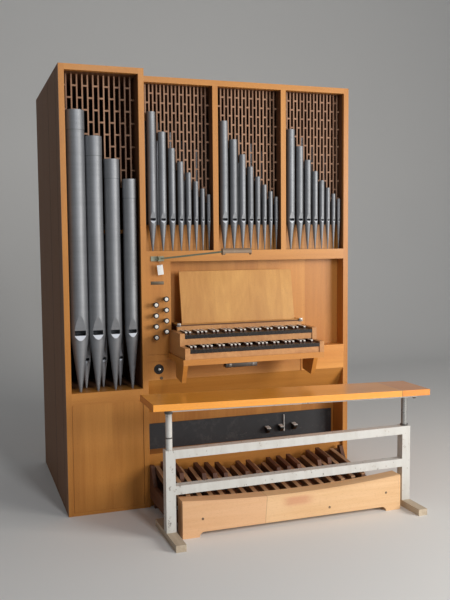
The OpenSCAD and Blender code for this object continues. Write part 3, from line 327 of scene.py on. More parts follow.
def wood(name, light, dark, grain, leaf=0.0, leaf_axis="X", gloss=0.44, coat=0.07, figure=1.0, extra=None):
    """Planed wood: leaves of veneer, growth rings, fibres and fine dark flecks along the grain."""
    finish = Finish(name, {"Coat Roughness": 0.28, "Specular IOR Level": 0.36})
    tone = shift = None
    if leaf:
        index = (finish.axis(leaf_axis) / leaf).math("FLOOR")
        tone = finish.node("ShaderNodeTexWhiteNoise", {"noise_dimensions": "1D"}, {"W": index})
        shift = tone * 5.0
    flame = finish.noise(grain_scale(grain, 7.0, 0.55), 2.0, 0.45, 0.5, shift)
    rings = (flame * 62.0).math("SINE")
    fibre = finish.noise(grain_scale(grain, 160.0, 5.0), 3.0, 0.6, shift=shift)
    streak = finish.noise(grain_scale(grain, 34.0, 0.9), 2.0, shift=shift)
    fleck = finish.noise(grain_scale(grain, 620.0, 70.0), 1.0, shift=shift).step(0.62, 0.72)
    cloud = finish.noise(1.6, 2.0)
    value = 0.5 + (flame - 0.5) * (1.5 * figure) + rings * (0.09 * figure) + (fibre - 0.5) * 0.55
    value = value + (streak - 0.5) * (1.1 * figure) + (cloud - 0.5) * 0.7
    if tone is not None:
        value = value + (tone - 0.5) * 0.5
    base = finish.mix(value.clamped(), dark, light)
    base = finish.mix(fleck * 0.4, base, dim(dark, 0.55))
    roughness = gloss + (fibre - 0.5) * 0.22 + (cloud - 0.5) * 0.16
    if extra is not None:
        base, roughness = extra(finish, base, roughness)
    finish.feed("Coat Weight", (coat + (cloud - 0.5) * coat).clamped())
    return finish.done(base, roughness, fibre * 0.6 - fleck * 0.8 + rings * 0.1, 0.0003)


def tower_number(finish):
    """Numbers the tower's pipes from the left, by their equal pitch."""
    return ((finish.axis("X") - PIPES_FROM) / PIPE_PITCH).math("FLOOR")


def bay_number(finish, row):
    """Numbers a bay's pipes from the left, by the gaps between them."""
    low, high = (corner[0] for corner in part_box(row))
    radius, taper = BAY_LIPS[2:]
    spans = [2 * radius * (1 - taper ** count) / (1 - taper) for count in range(BAY_PIPES + 1)]
    gap = (high - low - spans[-1]) / (BAY_PIPES - 1)
    number = 0.0
    for count in range(1, BAY_PIPES):
        start = low + spans[count] + (count - 1) * gap
        number = finish.axis("X").step(start, start + gap) + number
    return number


def lip_mask(finish, row, number, lips):
    """A mask of the flat lower lips of a row of pipes, where a highlight is painted: each lip's plane follows
    from its pipe's radius.
    """
    rise, inset, radius, taper = lips
    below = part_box(row)[0][2] + rise - finish.axis("Z")
    plane = finish.axis("Y") - CASE_FRONT - inset + below * LIP_SLOPE
    plane = plane + taper ** number * (radius * LIP_INSET)
    return (1.0 - plane.math("ABSOLUTE").step(0.0004, 0.0009)) * below.step(-0.0003, 0.0)


def zinc(name, light, dark, row=None):
    """Drawn pipe metal: dulled patches, brushing, hoops, dents, the seams of a row, and a painted highlight
    on its lips.
    """
    finish = Finish(name, {"Specular IOR Level": 0.5})
    patch = finish.noise((9.0, 9.0, 2.4), 4.0, 0.55, 0.4)
    brush = finish.noise((420.0, 420.0, 5.0), 2.0)
    hoop = finish.noise((3.0, 3.0, 55.0), 3.0, 0.6)
    speck = finish.noise((150.0, 150.0, 110.0), 2.0).step(0.62, 0.75)
    dent = finish.noise((16.0, 16.0, 7.0), 1.0)
    clean = 0.55 + (patch - 0.5) * 0.9 + (hoop - 0.5) * 0.35 + (brush - 0.5) * 0.2
    base = finish.mix(clean.clamped(), dark, light)
    base = finish.mix(speck * 0.3, base, dim(dark, 0.5))
    if row == "tower_pipes":
        number = tower_number(finish)
        seam = SEAM_BASE + SEAM_REACH * SEAM_RATIO ** number
        line = 1.0 - (finish.axis("Z") - seam).math("ABSOLUTE").step(0.0006, 0.0018)
        base = finish.mix(line * 0.7, base, dim(dark, 0.35))
        # Painted highlight on the flat lower lips
        base = finish.mix(lip_mask(finish, row, number, TOWER_LIPS) * 0.85, base, LIP_HIGHLIGHT)
    elif row in BAYS:
        # Painted highlight on the flat lower lips
        base = finish.mix(lip_mask(finish, row, bay_number(finish, row), BAY_LIPS) * 0.85, base, LIP_HIGHLIGHT)
    finish.feed("Metallic", 0.60 + (patch - 0.5) * 0.2)
    finish.bump(dent, 0.0008, 0.4)
    return finish.done(base, 0.53 - (clean - 0.5) * 0.12 + (brush - 0.5) * 0.08,
                       brush * 0.5 + hoop * 0.5, 0.00012)


def metal(name, tint, roughness=0.3, metallic=1.0, wear=0.25, painted=None):
    """A plain metal part with handling marks, and maybe painted to the left of a place."""
    finish = Finish(name)
    smear = finish.noise(45.0, 3.0, 0.55)
    scratch = finish.noise((900.0, 60.0, 260.0), 1.0)
    base = finish.mix((smear * wear).clamped(), tint, dim(tint, 0.45))
    shine = metallic - (smear - 0.5) * 0.1
    if painted is not None:
        place, paint = painted
        bare = finish.axis("X").step(place - 0.001, place + 0.001)
        chips = finish.noise((48.0, 48.0, 30.0), 5.0, 0.72).step(0.62, 0.65)
        chipped = (bare + chips).clamped()
        base, shine = finish.mix(chipped, paint, base), shine * chipped
    finish.feed("Metallic", shine)
    return finish.done(base, roughness + (smear - 0.5) * 0.25 + (scratch - 0.5) * 0.12, scratch, 0.00006, 0.6)


def enamel(name, tint, roughness=0.4, worn=None):
    """Brushed enamel, plastic or card, with dust and maybe rubbed spots."""
    finish = Finish(name)
    cloud = finish.noise(22.0, 3.0, 0.55)
    fine = finish.noise(380.0, 2.0)
    base = finish.mix((0.25 + (cloud - 0.5) * 1.2).clamped(), tint, dim(tint, 0.72))
    if worn is not None:
        rubbed = finish.noise((30.0, 30.0, 60.0), 4.0, 0.65).step(0.60, 0.66)
        base = finish.mix(rubbed, base, worn)
    return finish.done(base, roughness + (cloud - 0.5) * 0.25 + (fine - 0.5) * 0.1, fine, 0.0001)


def frame_paint(name, paint, bare):
    """Thick old paint on steel tube: runs, chips down to the steel, rust at the chips and grime low down."""
    finish = Finish(name)
    height = finish.axis("Z")
    cloud = finish.noise(6.0, 4.0, 0.6)
    smear = finish.noise((20.0, 20.0, 4.0), 3.0, 0.6)
    chips = finish.noise((48.0, 48.0, 30.0), 5.0, 0.72)
    chipped = (chips + (0.45 - height).clamped() * 0.05).step(0.635, 0.66)
    halo = chips.step(0.585, 0.64)
    orange_peel = finish.noise(230.0, 2.0)
    grime = ((smear - 0.42) * 1.6 + (0.16 - height).clamped() * 2.0).clamped()
    base = finish.mix((cloud * 0.5).clamped(), paint, dim(paint, 0.80))
    base = finish.mix(grime * 0.55, base, (0.36, 0.33, 0.28))
    base = finish.mix(halo * 0.35, base, (0.42, 0.33, 0.24))
    base = finish.mix(chipped, base, bare)
    finish.feed("Metallic", chipped * 0.7)
    return finish.done(base, 0.42 + (cloud - 0.5) * 0.3 + halo * 0.2,
                       orange_peel * 0.3 - chipped, 0.0004, 0.6)


def keys_black(name, tint):
    """Polished ebony keys, with finger grease on their tops."""
    finish = Finish(name, {"Specular IOR Level": 0.3})
    grease = finish.noise((60.0, 24.0, 60.0), 3.0, 0.6)
    fibre = finish.noise((700.0, 30.0, 700.0), 2.0)
    return finish.done(finish.mix(grease, tint, (0.022, 0.015, 0.012)), 0.2 + grease * 0.28, fibre, 0.00003)


def keys_sharp(name, body, top, top_at, nose_at):
    """Stained sharps with a plate of bone on top and over the nose, by the places given for each row."""
    finish = Finish(name)
    fibre = finish.noise((420.0, 16.0, 420.0), 3.0, 0.55)
    cloud = finish.noise((38.0, 20.0, 38.0), 2.0)
    height = finish.axis("Z")
    nose = 1.0 - finish.axis("Y").step(nose_at, nose_at + 0.0008)
    nose = nose * height.step(top_at - 0.0045, top_at - 0.0040)
    plate = height.step(top_at - 0.0004, top_at + 0.0004).math("MAXIMUM", nose)
    wooden = finish.mix(fibre, dim(body, 0.6), body)
    bony = finish.mix((cloud * 0.8).clamped(), top, dim(top, 0.78))
    return finish.done(finish.mix(plate, wooden, bony), 0.42 - plate * 0.14 + (cloud - 0.5) * 0.2,
                       fibre * (1.0 - plate), 0.0001, 0.6)


def stop_plastic(name, tint):
    """Turned black plastic, dulled by fingers."""
    finish = Finish(name, {"Specular IOR Level": 0.35})
    grease = finish.noise((140.0, 60.0, 140.0), 3.0, 0.6)
    lathe = finish.noise((20.0, 1400.0, 20.0), 1.0)
    return finish.done(finish.mix(grease, tint, (0.024, 0.022, 0.021)), 0.22 + grease * 0.22, lathe, 0.00004)


def kick_board(name, tint):
    """Charcoal board with scuffs from shoes along its lower half."""
    finish = Finish(name, {"Specular IOR Level": 0.35})
    height = finish.axis("Z")
    felt = finish.noise(520.0, 2.0)
    cloud = finish.noise((5.0, 5.0, 9.0), 4.0, 0.6)
    low = 1.0 - height.step(0.325, 0.400)
    marks = finish.noise((42.0, 42.0, 120.0), 5.0, 0.75, 1.5).step(0.60, 0.68)
    dust = finish.noise(14.0, 4.0, 0.7).step(0.52, 0.75)
    base = finish.mix(cloud, tint, (0.052, 0.055, 0.062))
    base = finish.mix(marks * low * 0.55 + dust * 0.12, base, (0.300, 0.290, 0.275))
    return finish.done(base, 0.55 + (cloud - 0.5) * 0.3, felt, 0.0003)


def shaded_inside(tint, inner):
    """An addition to a wood: painted shade, a dark tint laid where a mask made by inner says so."""

    def add(finish, base, roughness):
        mask = inner(finish)
        return finish.mix(mask, base, tint), roughness + mask * 0.25

    return add


def behind(finish, near, far):
    """0 near the case's front and 1 behind it, by distances from the front."""
    return finish.axis("Y").step(CASE_FRONT + near, CASE_FRONT + far)


def tower_painted_shade(left, tint):
    """An addition to a wood: painted shade on the tower's inner faces and its left face, and along its
    grooves.
    """

    def add(finish, base, roughness):
        x, inside = finish.axis("X"), behind(finish, 0.012, 0.030)
        outer = 1.0 - x.step(left + 0.0005, left + 0.0015)
        base = finish.mix((inside * x.step(left + 0.010, left + 0.012) + outer * 0.85).clamped(), base, tint)
        for groove in SIDE_GROOVES:
            # Painted shade in each groove of the left face
            groove_shade = 1.0 - (finish.axis("Y") - CASE_FRONT - groove).math("ABSOLUTE").step(0.0030, 0.0075)
            base = finish.mix(groove_shade * (1.0 - x.step(left + 0.004, left + 0.005)) * 0.8, base, dim(tint, 0.15))
        return base, roughness + inside * 0.25

    return add


def worn_and_lit_tops(tint, depth):
    """An addition to a wood: lighter along the tops of the pedals, partly wear and partly painted light, most
    near their fronts.
    """

    def add(finish, base, roughness):
        cloud = finish.noise((26.0, 5.0, 26.0), 3.0, 0.6)
        across = finish.axis("X") - PEDAL_MID
        back = finish.axis("Y") - PEDAL_FRONT[0]
        above = finish.axis("Z") - across * across / (2 * PEDAL_RADIUS) - PEDAL_FRONT[1] - back * PEDAL_SLOPE
        high = above.step(-depth, -depth * 0.4)
        # The fronts get the most painted light, as their tops lie in shade
        front = 1.0 - back.step(0.04, 0.30)
        rubbed = high * (0.45 + cloud * 0.7 + front * 0.25).clamped()
        return finish.mix(rubbed, base, tint), roughness - rubbed * 0.1

    return add


def stained_front(x_range, z_range, tint):
    """An addition to a wood: a soft reddish stain inside a box on the front, scuffs, and a leaning joint."""

    def add(finish, base, roughness):
        ragged = (finish.noise((60.0, 60.0, 120.0), 3.0, 0.6) - 0.5) * 0.02
        x, z = finish.axis("X") + ragged, finish.axis("Z") + ragged * 0.5
        inside = x.step(x_range[0], x_range[0] + 0.07) * (1.0 - x.step(x_range[1] - 0.09, x_range[1]))
        inside = inside * z.step(z_range[0], z_range[0] + 0.03)
        inside = inside * (1.0 - z.step(z_range[1] - 0.02, z_range[1]))
        joint = finish.axis("X") - PEDAL_JOINT[0] - finish.axis("Z") * PEDAL_JOINT[1]
        left = 1.0 - joint.step(-0.002, 0.002)
        line = 1.0 - joint.math("ABSOLUTE").step(0.0005, 0.0018)
        scuff = finish.noise((70.0, 70.0, 26.0), 4.0, 0.75).step(0.62, 0.72)
        base = finish.mix(scuff * 0.35, base, dim(tint, 0.9))
        base = finish.mix(left * 0.22, base, dim(tint, 1.15))
        base = finish.mix(line * 0.6, base, dim(tint, 0.4))
        return finish.mix(inside * 0.6, base, tint), roughness + inside * 0.1

    return add


def seat_ends(left, right, tint, line):
    """An addition to a wood: red end grain on the left, and a redder end board at a joint on the right."""

    def add(finish, base, roughness):
        x = finish.axis("X")
        at_right = x.step(right - 0.0004, right + 0.0004)
        at_left = 1.0 - x.step(left - 0.0015, left + 0.0005)
        joint = 1.0 - (x - right).math("ABSOLUTE").step(0.0008, 0.0026)
        across = finish.noise((40.0, 1.2, 40.0), 3.0, 0.55)
        base = finish.mix(at_right * (0.15 + across * 0.3), base, dim(tint, 1.6))
        base = finish.mix(at_left * (0.75 + across * 0.25), base, dim(tint, 1.5))
        return finish.mix(joint * 0.85, base, line), roughness + joint * 0.1

    return add


# Small shapes


def shaped(bm):
    """Closes a new shape and turns its faces outwards."""
    bmesh.ops.remove_doubles(bm, verts=bm.verts, dist=1e-6)
    bmesh.ops.recalc_face_normals(bm, faces=bm.faces)
    for face in bm.faces:
        face.smooth = True
    for edge in bm.edges:
        if len(edge.link_faces) == 2 and edge.calc_face_angle(0.0) > 0.55:
            edge.smooth = False
    return bm


def facing_front(at):
    """Sets a turned shape's axis towards the player, at a place."""
    return Matrix.Translation(at) @ Matrix.Rotation(math.radians(90), 4, "X")


def piece(name, bm, material, body):
    """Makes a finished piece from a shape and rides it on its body."""
    mesh = bpy.data.meshes.new(name)
    shaped(bm).to_mesh(mesh)
    bm.free()
    mesh.materials.append(material)
    made = bpy.data.objects.new(name, mesh)
    bpy.context.scene.collection.objects.link(made)
    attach(made, body)


def turned_piece(name, profile, matrix, material, body="organ", steps=32):
    """A turned piece: a profile of (radius, height) points spun once round the Z axis, then placed."""
    bm = bmesh.new()
    points = [bm.verts.new((radius, 0.0, height)) for radius, height in profile]
    edges = [bm.edges.new(pair) for pair in zip(points, points[1:])]
    bmesh.ops.spin(bm, geom=points + edges, axis=(0, 0, 1), angle=2 * math.pi, steps=steps, use_merge=True)
    bmesh.ops.transform(bm, matrix=matrix, verts=bm.verts)
    piece(name, bm, material, body)


def block_piece(name, blocks, material, round_by=0.001, segments=2, turn=Matrix.Identity(4)):
    """A piece made of rounded blocks, each a size and a middle."""
    bm = bmesh.new()
    for size, centre in blocks:
        matrix = Matrix.Translation(centre) @ turn @ Matrix.Diagonal((*size, 1.0))
        made = bmesh.ops.create_cube(bm, size=1.0, matrix=matrix)
        edges = list({edge for vert in made["verts"] for edge in vert.link_edges})
        bmesh.ops.bevel(bm, geom=edges, offset=round_by, offset_type="OFFSET", segments=segments,
                        profile=0.5, affect="EDGES", clamp_overlap=True, material=-1)
    piece(name, bm, material, "organ")


def dress(material, *nodes):
    """Gives CAD nodes their material."""
    for node in nodes:
        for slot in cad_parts[node].material_slots:
            slot.material = material


def middle(node):
    """Middle of a CAD node's box."""
    low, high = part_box(node)
    return (Vector(low) + Vector(high)) / 2


# Operators


class ORGAN_OT_case(bpy.types.Operator):
    """Oil the case: upright veneer, lying boards, grilles, and painted shade on the inner faces and the inner
    back
    """

    bl_idname = "organ.case"
    bl_label = "Case"

    def execute(self, context):
        woods = context.scene.organ_woods
        # inner is the painted shade laid on the case's inner faces
        light, dark, inner = woods.case_light, woods.case_dark, woods.shaded
        left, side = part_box("tower_sides")[0][0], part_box("case_side")[0][0]
        tower_edge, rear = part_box("tower_sides")[1][0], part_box("back_boards")[1][1]
        desk_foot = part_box("music_desk")[0][2]

        def upright(name, leaf_axis, extra=None):
            """Veneer that stands, in leaves."""
            return wood(name, light, dark, "Z", woods.leaf, leaf_axis, figure=0.65, extra=extra)

        def lying(name, extra=None):
            """Boards that lie."""
            return wood(name, light, dark, "X", 0.0, "Z", figure=0.65, extra=extra)

        def side_inside(finish):
            """Where painted shade goes: the inner face of the right side, over the console."""
            return behind(finish, 0.012, 0.030) * finish.axis("Z").step(1.43, 1.44) * (
                1.0 - finish.axis("X").step(side + 0.010, side + 0.012))

        def ledge_inside(finish):
            """Where painted shade goes: shelves and the undersides of the top boards, but not their tops."""
            over_bays = finish.axis("X").step(tower_edge, tower_edge + 0.001)
            above = finish.axis("Z") - TOWER_UNDER + over_bays * (TOWER_UNDER - CASE_UNDER)
            return behind(finish, 0.020, 0.050) * (1.0 - above.step(0.0005, 0.0015))

        dress(upright("case_upright", "X"), "tower_door", "stop_jamb", "console_back", "lower_panel")
        # Painted shade on the tower's inner faces, its left face and its grooves
        dress(upright("tower_sides", "Y", tower_painted_shade(left, inner)), "tower_sides")
        dress(upright("case_side", "Y", shaded_inside(inner, side_inside)), "case_side")
        # Painted shade on the mullions' inner faces, behind the front
        dress(upright("mullion_wood", "X", shaded_inside(
            inner, lambda finish: behind(finish, 0.003, 0.012))), "mullions")
        dress(lying("case_lying"), "floor_boards", "keydesk_board", "toe_board", "knee_panel",
              "pipe_supports")
        dress(lying("case_shelves", shaded_inside(inner, ledge_inside)), "top_boards", "bay_shelf")
        # Painted shade on the chest's top, behind the pipes' feet
        dress(lying("chest_top", shaded_inside(
            inner, lambda finish: behind(finish, 0.070, 0.190))), "tower_chest")
        # Painted shadow along the music desk's lower edge
        dress(wood("music_desk_veneer", woods.desk_light, woods.desk_dark, "Z", 0.21, "X", 0.5, 0.05,
                   extra=shaded_inside(inner, lambda finish: 1.0 - finish.axis("Z").step(
                       desk_foot + 0.0080, desk_foot + 0.0100))), "music_desk")
        dress(wood("grille_slats", woods.grille_light, woods.grille_dark, "Z", 0.0224, "X", 0.6, 0.0),
              "tower_grille", "bay_grille_1", "bay_grille_2", "bay_grille_3")
        # Painted shade on the inner face of the back boards
        back = shaded_inside(
            woods.back_dark, lambda finish: 1.0 - finish.axis("Y").step(rear - 0.003, rear - 0.002))
        dress(wood("back_boards", dim(light, 0.8), dim(dark, 0.8), "Z", 0.18, "X", 0.6, 0.0, extra=back),
              "back_boards")
        # The side ledge is a paler copy of the case wood: painted light
        dress(wood("ledge_block", dim(light, 1.2), dim(dark, 1.3), "X"), "side_ledge")
        return {"FINISHED"}


class ORGAN_OT_pipes(bpy.types.Operator):
    """Give the flue pipes their dulled zinc"""

    bl_idname = "organ.pipes"
    bl_label = "Pipes"

    def execute(self, context):
        metals = context.scene.organ_metals
        light, dark = metals.pipe_light, metals.pipe_dark
        dress(zinc("tower_zinc", light, dark, "tower_pipes"), "tower_pipes")
        # The rear pipes get lightened zinc: painted light on pipes that stand in shade
        dress(zinc("rear_zinc", dim(light, 1.7), dim(dark, 1.7)), "tower_rear_pipes")
        for bay in BAYS:
            dress(zinc(f"{bay}_zinc", light, dark, bay), bay)
        dress(zinc("pipe_zinc", light, dark), "inner_pipes")
        return {"FINISHED"}


class ORGAN_OT_keys(bpy.types.Operator):
    """Finish both rows of keys and their cheeks"""

    bl_idname = "organ.keys"
    bl_label = "Keys"

    def execute(self, context):
        woods, fittings = context.scene.organ_woods, context.scene.organ_fittings
        dress(keys_black("ebony_keys", fittings.black), "upper_naturals", "lower_naturals")
        for row in ("upper", "lower"):
            low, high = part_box(f"{row}_sharps")
            dress(keys_sharp(f"{row}_sharp_keys", fittings.sharp_wood, fittings.bone, high[2] - 0.0025,
                             low[1] + 0.007), f"{row}_sharps")
        dress(wood("cheek_wood", woods.cheek_light, woods.cheek_dark, "Y"), "key_cheeks")
        return {"FINISHED"}


class ORGAN_OT_stops(bpy.types.Operator):
    """Turn the black stops and set a pale domed face into each"""

    bl_idname = "organ.stops"
    bl_label = "Stops"

    def execute(self, context):
        fittings = context.scene.organ_fittings
        plastic = stop_plastic("stop_plastic", fittings.black)
        face_finish = enamel("stop_faces", fittings.bone, 0.28)
        for number in STOPS:
            dress(plastic, f"stop_{number}")
            low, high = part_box(f"stop_{number}")
            radius = (high[0] - low[0]) / 2 * fittings.face_share
            rise = fittings.face_rise
            profile = [(0.0, rise), (radius * 0.5, rise * 0.93), (radius * 0.85, rise * 0.72),
                       (radius * 0.97, rise * 0.4), (radius, 0.0), (radius * 0.9, -0.0005), (0.0, -0.0005)]
            at = middle(f"stop_{number}")
            turned_piece(f"stop_{number}_face", profile, facing_front((at.x, low[1], at.z)), face_finish,
                         f"stop_{number}_knob", 40)
        return {"FINISHED"}


class ORGAN_OT_console(bpy.types.Operator):
    """Add the tag, the desk clips, the handle, the switch's centre, the bare plate and the keyhole"""

    bl_idname = "organ.console"
    bl_label = "Console fittings"

    def execute(self, context):
        metals, fittings = context.scene.organ_metals, context.scene.organ_fittings
        silver = metal("silver_fittings", metals.silver, 0.28)
        plastic = stop_plastic("switch_plastic", fittings.black)
        dress(plastic, "blower_switch")
        self.tag(fittings, silver)
        self.clips(fittings, metal("clip_steel", metals.clip, 0.38))
        iron = metal("dark_iron", metals.iron, 0.42, 0.9, 0.5)
        self.handle(fittings, iron, metal("dulled_stays", metals.stay, 0.4))
        self.plate(fittings, metal("bare_plate", metals.brass, 0.5, 0.6, 0.4))
        low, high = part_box("blower_switch")
        at = middle("blower_switch")
        radius = (high[0] - low[0]) / 2
        turned_piece("switch_centre", [
            (0.0, 0.004), (radius * 0.16, 0.0037), (radius * 0.30, 0.0025), (radius * 0.34, 0.0),
            (radius * 0.34, -0.001), (0.0, -0.001)], facing_front((at.x, low[1], at.z)), silver)
        rose = radius * 1.2
        turned_piece("switch_rose", [
            (radius * 0.9, 0.003), (rose * 0.95, 0.003), (rose, 0.002), (rose, 0.0), (radius * 0.9, 0.0),
            (radius * 0.9, 0.003)], facing_front((at.x, high[1], at.z)), plastic,
            steps=48)
        return {"FINISHED"}

    def tag(self, fittings, silver):
        """A blank card tag on a wire loop, hung from the lamp's bracket."""
        at, size = Vector(fittings.tag_at), fittings.tag_size
        card = enamel("tag_card", fittings.card, 0.7)
        lean = Matrix.Rotation(math.radians(-7), 4, "Y")
        block_piece("blank_tag", [(size, at)], card, 0.00035, 2, lean)
        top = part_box("lamp_bracket")[0][2]
        bm = bmesh.new()
        loop = (top + at.z + size[2] / 2) / 2
        radius = max(0.006, (top - at.z - size[2] / 2) / 2 + 0.004)
        bmesh.ops.create_circle(bm, segments=10, radius=0.0006, matrix=facing_front((radius, 0, 0)))
        bmesh.ops.spin(bm, geom=bm.verts[:] + bm.edges[:], axis=(0, 0, 1), angle=2 * math.pi, steps=36,
                       use_merge=True)
        stand = Matrix.Translation((at.x, at.y, loop)) @ Matrix.Rotation(math.radians(90), 4, "Y")
        bmesh.ops.transform(bm, matrix=stand, verts=bm.verts)
        piece("tag_loop", bm, silver, "organ")

    def clips(self, fittings, steel):
        """Two small clips that hold the music desk's lower corners."""
        low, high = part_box("music_desk")
        width, depth, height = fittings.clip_size
        for side, x in (("left", low[0] + width / 4), ("right", high[0] - width / 4)):
            block_piece(f"desk_clip_{side}", [
                ((width, depth, 0.003), (x, low[1] - 0.002, low[2] + 0.0005)),
                ((width * 0.7, 0.003, height), (x, low[1] - 0.0075, low[2] + height / 2))], steel)

    def handle(self, fittings, iron, dulled):
        """The dark pull under the keydesk's board, between two dull stays."""
        at, (width, depth, height) = Vector(fittings.handle_at), fittings.handle_size
        block_piece("keydesk_handle", [((width, depth, height), at)], iron, 0.003, 3)
        for name, end in (("left", -1), ("right", 1)):
            stay = at + Vector((end * width * 0.36, -depth / 2, 0.0))
            block_piece(f"handle_stay_{name}", [((0.014, 0.004, height * 0.7), stay)], dulled)

    def plate(self, fittings, brass):
        """The bare plate on the stop jamb, and the keyhole in the panel beside the keydesk."""
        block_piece("bare_plate", [(fittings.plate_size, fittings.plate_at)], brass)
        keyhole = [(0.0, 0.0020), (0.0075, 0.0018), (0.0095, 0.0), (0.0095, -0.001), (0.0, -0.001)]
        turned_piece("keyhole", keyhole, facing_front(fittings.keyhole_at), brass)


class ORGAN_OT_lamp(bpy.types.Operator):
    """Enamel the lamp's bracket, arm and shade"""

    bl_idname = "organ.lamp"
    bl_label = "Lamp"

    def execute(self, context):
        metals = context.scene.organ_metals
        dress(enamel("lamp_enamel", metals.lamp_green, 0.42, (0.20, 0.15, 0.09)), "lamp_bracket", "lamp_arm")
        dress(enamel("shade_enamel", metals.lamp_brown, 0.38, (0.34, 0.27, 0.20)), "lamp_shade")
        return {"FINISHED"}


class ORGAN_OT_pedals(bpy.types.Operator):
    """Finish the pedalboard, the kick panel and the toe levers"""

    bl_idname = "organ.pedals"
    bl_label = "Pedals"

    def execute(self, context):
        woods, metals = context.scene.organ_woods, context.scene.organ_metals
        fittings = context.scene.organ_fittings
        light, dark = woods.pedal_light, woods.pedal_dark
        # The naturals' tops are lighter, partly by wear and partly as painted light
        dress(wood("pedal_naturals_wood", dim(light, 0.45), dark, "Y", 0.065, "X", 0.5, 0.1,
                   extra=worn_and_lit_tops(light, 0.005)), "pedal_naturals")
        dress(wood("pedal_sharps_wood", woods.pedal_sharp, dark, "Y", 0.065, "X", 0.6, 0.02), "pedal_sharps")
        dress(wood("pedal_frame_wood", woods.pedal_frame, dark, "Y", 0.0, "X", 0.65, 0.02), "pedal_frame")
        dress(wood("pedal_front_beech", woods.front_light, woods.front_dark, "X", 0.0, "X", 0.5, 0.06, 0.6,
                   stained_front((0.180, 0.410), (0.090, 0.162), woods.front_stain)), "pedal_front")
        dress(kick_board("kick_board", fittings.kick), "kick_panel")
        dress(enamel("toe_lever_black", fittings.black, 0.4), "toe_levers")
        dress(metal("toe_lever_steel", metals.lever, 0.42, 0.15), "toe_plates")
        iron = metal("screw_iron", metals.iron, 0.4, 0.9, 0.5)
        radius, face = fittings.screw_radius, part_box("pedal_front")[0][1]
        sunk = [(0.0, -0.0006), (radius * 0.32, -0.0006), (radius * 0.36, 0.0010), (radius * 0.8, 0.0008),
                (radius, 0.0), (radius, -0.0012), (0.0, -0.0012)]
        round_head = [(0.0, 0.0012), (radius * 0.5, 0.0010), (radius * 0.7, 0.0), (radius * 0.7, -0.0012),
                      (0.0, -0.0012)]
        low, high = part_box("kick_panel")
        screws = [(f"pedal_screw_{number}", sunk, (x, face, z))
                  for number, (x, z) in enumerate(PEDAL_SCREWS, 1)]
        screws += [(f"kick_screw_{number}", round_head, (high[0] - KICK_SCREW_INSET, low[1], z))
                   for number, z in enumerate(KICK_SCREWS, 4)]
        for name, profile, at in screws:
            turned_piece(name, profile, facing_front(at), iron, steps=24)
        return {"FINISHED"}


class ORGAN_OT_bench(bpy.types.Operator):
    """Varnish the seat, paint and chip the frame, and leave the feet bare"""

    bl_idname = "organ.bench"
    bl_label = "Bench"

    def execute(self, context):
        woods, metals = context.scene.organ_woods, context.scene.organ_metals
        fittings = context.scene.organ_fittings
        centre, radius = Vector(fittings.posts_at), fittings.post_radius
        angle = math.radians(fittings.posts_turn)
        span = Vector((math.cos(angle), math.sin(angle), 0.0)) * fittings.posts_half
        ends = seat_ends(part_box("bench_seat")[0][0] + 0.0045, woods.seat_joint, woods.seat_end,
                         woods.seat_line)
        dress(wood("seat_varnish", woods.seat_light, woods.seat_dark, "X", 0.0, "Y", 0.21, 0.6, 0.45, ends),
              "bench_seat")
        dress(wood("feet_wood", woods.foot_light, woods.foot_dark, "Y", 0.0, "X", 0.75, 0.0), "bench_feet")
        dress(frame_paint("bench_paint", metals.paint, metals.bare), "bench_frame")
        painted = (centre.x, dim(metals.paint, 0.95))
        dress(metal("bench_chrome", metals.chrome, 0.3, 0.7, 0.5, painted), "bench_top_frame")
        iron = metal("bench_iron", dim(metals.bare, 0.6), 0.5, 0.7, 0.6)
        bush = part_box("bench_frame")[1][2] + 0.005
        # Name, side, height, reach round the post and own height of each collar and clamp
        for name, side, at, reach, tall in (
                ("post_collar_left", -1, 0.532, 0.0030, 0.006), ("post_clamp_left", -1, 0.668, 0.0045, 0.020),
                ("post_collar_right", 1, bush, 0.0045, 0.010), ("post_clamp_right", 1, 0.672, 0.0045, 0.024)):
            wide, half = radius + reach, tall / 2
            turned_piece(name, [
                (0.0, half), (wide - 0.001, half), (wide, half - 0.001), (wide, 0.001 - half),
                (wide - 0.001, -half), (0.0, -half)],
                Matrix.Translation(centre + side * span + Vector((0.0, 0.0, at))), iron)
        knob = Matrix.Translation(centre + span + Vector((0.052, -0.02, 0.645)))
        turned_piece("seat_knob", [
            (0.0, 0.016), (0.012, 0.014), (0.018, 0.008), (0.018, -0.004), (0.008, -0.010), (0.007, -0.052),
            (0.0, -0.052)], knob @ Matrix.Rotation(math.radians(90), 4, "Y"), iron)
        return {"FINISHED"}


